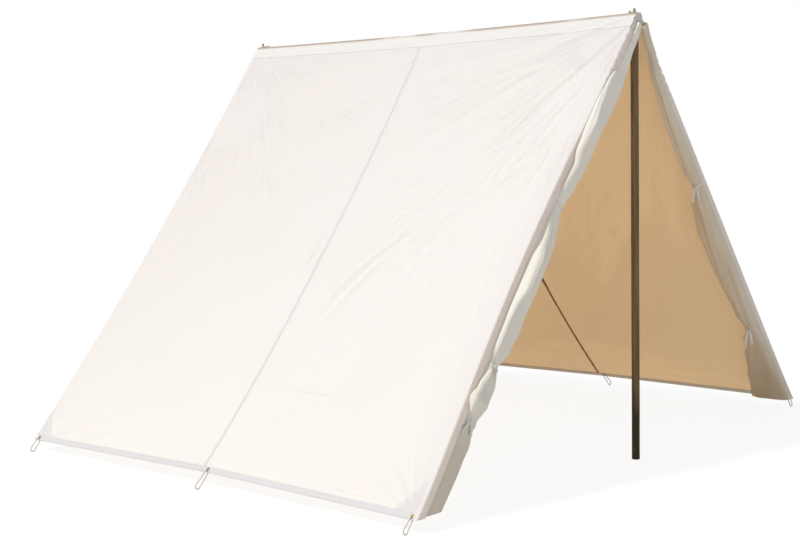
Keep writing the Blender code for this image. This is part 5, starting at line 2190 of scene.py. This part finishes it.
@dataclass
class Grommets(Tent):
    """Brass grommets with rolled rims."""

    sides: int = 40
    roll_steps: int = 6

    def grommet(self, name: str, place: Matrix, hole: float, stack: float, washer: bool = True) -> Piece:
        """Spool through the cloth, rolled over on its outer face.

        Args:
            name: name of the piece.
            place: middle of its outer face on the cloth, with Z outwards.
            hole: the hole's radius.
            stack: thickness of the cloth in it.
            washer: whether it has a flat washer on the inner face.

        Returns:
            The piece.
        """
        shape = self.shape
        barrel = hole + shape.barrel_wall
        rim = barrel + shape.flange_width
        top = shape.edge_gap + shape.flange
        thick = shape.flange
        rolled = [(thick * (1 - math.sin(turn)), top - thick * (1 - math.cos(turn)))
                  for turn in np.linspace(0.0, math.pi / 2, self.roll_steps)]
        outline = [(hole + inset, height) for inset, height in rolled[::-1]]
        outline += [(rim - inset, height) for inset, height in rolled]
        outline += [(barrel, top - thick)]
        if washer:
            foot = -stack - top
            outline += [(barrel, foot + thick), (rim, foot + thick), (rim, foot), (hole, foot)]
        else:
            outline += [(barrel, -stack), (hole, -stack)]
        piece = Bench.turned(name, np.array(outline[::-1]), self.sides, place)
        self.wardrobe.dress(piece, Look.BRASS)
        return Bench.smooth(piece)

    def build(self) -> None:
        """Make the grommets."""
        shape = self.shape
        for name, place, stack in shape.hem_fittings():
            ring = self.grommet(f"{name}_eyelet", place, shape.hem_hole, stack)
            self.hang(ring, "brass", f"{name}_hem_grommet")
        for end in End:
            place = shape.ridge_place(end)
            stack = place.translation.z - shape.ridge_height + shape.cloth + shape.lay_gap - shape.edge_gap
            ring = self.grommet(f"{end.value}_ridge_eyelet", place, shape.ridge_hole, stack, washer=False)
            self.hang(ring, "brass", f"{end.value}_ridge_grommet")


@dataclass
class Poles(Tent):
    """Ridge pole, uprights, ferrules and pins."""

    upright_radius: float = 0.019
    upright_chamfer: float = 0.003
    worn_edge: float = 0.0016
    pin_bore: float = 0.080
    ferrule_wall: float = 0.0015
    ferrule_edge: float = 0.0005
    pin_play: float = 0.001
    pin_round: float = 0.0025
    bore_reach: float = 0.4
    sides: int = 48
    bore_sides: int = 24
    pin_sides: int = 32
    round_steps: int = 5
    ridge_cuts: int = 40
    upright_cuts: int = 70
    end_slack: float = 0.001
    whittled: float = 0.014
    thinned: float = 0.012

    def build(self) -> None:
        """Make the poles and their ironwork."""
        self.ridge_pole()
        for end in End:
            self.upright(end)
            self.ferrule(end)
            self.pin(end)

    def rod(self, name: str, node: str, radius: float, sides: int, **settings: object) -> Piece:
        """Upright rod as tall as the solid that it stands for, in the same place.

        Args:
            name: name of the piece.
            node: the solid.
            radius: its radius.
            sides: faces in a turn.
            settings: more of the cylinder's settings.

        Returns:
            The piece.
        """
        low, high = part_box(node)
        return Bench.added(name, bpy.ops.mesh.primitive_cylinder_add, vertices=sides, radius=radius,
                           depth=high.z - low.z, location=(low + high) / 2, **settings)

    def finished(self, piece: Piece, look: Look, node: str, body: str | None = None) -> None:
        """Dress a rod, smooth it and hang it in its solid's place.

        Args:
            piece: the rod.
            look: its finish.
            node: the solid that it stands for.
            body: the body that it rides on, if not the canvas body.
        """
        Bench.smooth(self.wardrobe.dress(piece, look))
        self.hang(piece, "timber" if look is Look.TIMBER else "steel", node, body=body)

    def ridge_pole(self) -> None:
        """Planed ridge pole with rounded corners and a bore for each pin."""
        low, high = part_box("ridge_pole")
        pole = Bench.added("ridge_timber", bpy.ops.mesh.primitive_cube_add, size=1.0,
                           location=(low + high) / 2, scale=high - low)
        with Bench.picked(pole, "EDGE", lambda edge: self._lies_along(pole, edge, 1)):
            bpy.ops.mesh.bevel(offset=self.shape.pole_round, segments=self.round_steps, profile=0.5)
        with Bench.picked(pole, "EDGE", lambda edge: self._lies_along(pole, edge, 1)):
            bpy.ops.mesh.subdivide(number_cuts=self.ridge_cuts)
        for end in End:
            pin_low, pin_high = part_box(f"{end.value}_pin")
            centre = (pin_low + pin_high) / 2
            bore = Bench.added(f"{end.value}_bore", bpy.ops.mesh.primitive_cylinder_add,
                               vertices=self.bore_sides, depth=self.bore_reach,
                               radius=self.shape.pin_radius + self.pin_play,
                               location=(centre.x, centre.y, (low.z + high.z) / 2))
            Bench.modify(pole, "BOOLEAN", operation="DIFFERENCE", solver="EXACT", object=bore)
            bpy.data.objects.remove(bore)
        for vertex in pole.data.vertices:
            share = (vertex.co.y - self.shape.front_y) / self.shape.canvas_length
            vertex.co.z -= float(self.shape.droop_at(share))
        self.finished(pole, Look.TIMBER, "ridge_pole")

    @staticmethod
    def _lies_along(piece: Piece, edge: bpy.types.MeshEdge, axis: int) -> bool:
        """Whether an edge runs along an axis."""
        start, end = (piece.data.vertices[number].co for number in edge.vertices)
        return abs((end - start)[axis]) > 0.9 * (end - start).length

    @staticmethod
    def _lies_between(piece: Piece, edge: bpy.types.MeshEdge, low: float, high: float) -> bool:
        """Whether an edge lies wholly between two heights."""
        return all(low < piece.data.vertices[number].co.z < high for number in edge.vertices)

    def upright(self, end: End) -> None:
        """Round upright, a little uneven, with worn ends and a bore for its pin.

        Args:
            end: which end of the ridge it holds.
        """
        node = f"{end.value}_upright"
        low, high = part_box(node)
        pole = self.rod(f"{end.value}_pole", node, self.upright_radius, self.sides)
        with Bench.picked(pole, "EDGE", lambda edge: self._lies_along(pole, edge, 2)):
            bpy.ops.mesh.subdivide(number_cuts=self.upright_cuts)
        bore = self.shape.pin_radius + self.shape.edge_gap
        with Bench.picked(pole, "FACE", lambda face: face.normal.z > 0.9):
            bpy.ops.mesh.inset(thickness=self.worn_edge)
            bpy.ops.mesh.inset(thickness=self.upright_radius - self.worn_edge - bore)
            bpy.ops.mesh.extrude_region_move(TRANSFORM_OT_translate={"value": (0.0, 0.0, -self.pin_bore)})
        with Bench.picked(pole, "EDGE", lambda edge: self._lies_between(pole, edge, -1.0, self.end_slack)):
            bpy.ops.mesh.bevel(offset=self.upright_chamfer, segments=3)
        self._whittle(pole, low.z, high.z, 17 if end is End.FRONT else 18)
        self.finished(pole, Look.TIMBER, node, node)

    def _whittle(self, pole: Piece, low: float, high: float, seed: int) -> None:
        """Draw the pole's sides in and out a little, as on a hand-shaved pole.

        Args:
            pole: the pole.
            low: height of its foot.
            high: height of its top.
            seed: seed of the unevenness.
        """
        random = np.random.default_rng(seed)
        points = Bench.points(pole)
        middle = (points[:, :2].min(axis=0) + points[:, :2].max(axis=0)) / 2
        away = points[:, :2] - middle
        turn = np.arctan2(away[:, 1], away[:, 0])
        share = (points[:, 2] - low) / (high - low)
        change = np.zeros(len(points))
        for waves, lobes in ((2, 1), (5, 2), (9, 3), (17, 4)):
            phase = random.uniform(0, TURN, 2)
            change += np.sin(waves * TURN * share + phase[0]) * np.cos(lobes * turn + phase[1]) / lobes
        hold = eased(share / 0.02) * eased((0.975 - share) / 0.02)
        outer = np.hypot(away[:, 0], away[:, 1]) > self.upright_radius * 0.8
        points[:, :2] += away * (change * hold * outer * self.whittled - self.thinned * outer * hold)[:, None]
        pole.data.vertices.foreach_set("co", points.astype(np.float32).ravel())
        pole.data.update()

    def ferrule(self, end: End) -> None:
        """Steel band round the top of an upright."""
        node = f"{end.value}_ferrule"
        low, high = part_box(node)
        band = self.rod(f"{end.value}_band", node, (high.x - low.x) / 2, self.sides, end_fill_type="NOTHING")
        Bench.modify(band, "SOLIDIFY", thickness=self.ferrule_wall, offset=-1.0)
        Bench.modify(band, "BEVEL", width=self.ferrule_edge, segments=2, limit_method="ANGLE")
        self.finished(band, Look.STEEL, node, f"{end.value}_upright")

    def pin(self, end: End) -> None:
        """Steel pin with a rounded tip."""
        node = f"{end.value}_pin"
        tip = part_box(node)[1].z
        pin = self.rod(f"{end.value}_spike", node, self.shape.pin_radius, self.pin_sides)
        near_tip = tip - self.end_slack
        with Bench.picked(pin, "EDGE", lambda edge: self._lies_between(pin, edge, near_tip, math.inf)):
            bpy.ops.mesh.bevel(offset=self.pin_round, segments=4)
        self.finished(pin, Look.STEEL, node, f"{end.value}_upright")


@dataclass(frozen=True)
class Studio:
    """Ground, daylight and camera."""

    camera_at: Point = (-5.582, -3.441, 1.473)
    yaw: float = 0.8485
    pitch: float = -0.0854
    roll: float = -0.0180
    lens: float = 61.95
    sensor: float = 36.0
    sun_from: Point = (-0.64, 0.26, 0.72)
    sun_strength: float = 2.55
    sun_size: float = math.radians(5)
    sky_strength: float = 0.48
    ground_size: float = 60.0
    ground_gap: float = 0.0005

    def build(self, wardrobe: Wardrobe) -> None:
        """Make the ground, the lights and the camera.

        Args:
            wardrobe: the finishes.
        """
        self._ground(wardrobe)
        self._sky()
        self._sun()
        self._camera()
        bpy.context.scene.view_settings.view_transform = "Standard"

    def _ground(self, wardrobe: Wardrobe) -> None:
        """Wide pale ground."""
        ground = Bench.added("ground", bpy.ops.mesh.primitive_plane_add, size=self.ground_size,
                             location=(0.0, 0.0, -self.ground_gap))
        wardrobe.dress(ground, Look.GROUND)

    def _sky(self) -> None:
        """Even daylight that the camera sees as white."""
        world = bpy.data.worlds.new("daylight")
        bpy.context.scene.world = world
        graph = Graph(world)
        soft = graph.node("Background", {}, {"Color": (0.985, 0.99, 1.0), "Strength": self.sky_strength})
        white = graph.node("Background", {}, {"Color": (1.0, 1.0, 1.0), "Strength": 1.0})
        graph.close(graph.blended(graph.seen_directly(), soft, white))

    def _sun(self) -> None:
        """Soft sun from the left."""
        lamp = Bench.added("sun", bpy.ops.object.light_add, type="SUN")
        lamp.data.energy = self.sun_strength
        lamp.data.angle = self.sun_size
        lamp.data.color = (1.0, 1.0, 0.995)
        lamp.rotation_euler = Vector(self.sun_from).to_track_quat("Z", "Y").to_euler()

    def _camera(self) -> None:
        """Camera where the photograph was taken from."""
        ahead = Vector((math.sin(self.yaw) * math.cos(self.pitch), math.cos(self.yaw) * math.cos(self.pitch),
                        math.sin(self.pitch)))
        level = ahead.cross(Vector((0.0, 0.0, 1.0))).normalized()
        over = level.cross(ahead)
        right = math.cos(self.roll) * level + math.sin(self.roll) * over
        up = -math.sin(self.roll) * level + math.cos(self.roll) * over
        camera = Bench.added("camera", bpy.ops.object.camera_add)
        camera.data.lens = self.lens
        camera.data.sensor_width = self.sensor
        place = Matrix((right, up, -ahead)).transposed().to_4x4()
        place.translation = Vector(self.camera_at)
        camera.matrix_world = place
        bpy.context.scene.camera = camera


def main() -> None:
    """Load the frame, dress the tent and set the stage."""
    logging.basicConfig(level=logging.INFO, format="%(name)s: %(message)s")
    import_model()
    shape = TentShape()
    wardrobe = Wardrobe()
    Studio().build(wardrobe)
    for assembly in (Slopes, RearWall, Doors, Ropework, Poles, Grommets):
        assembly(shape, wardrobe).build()


if __name__ == "__main__":
    main()
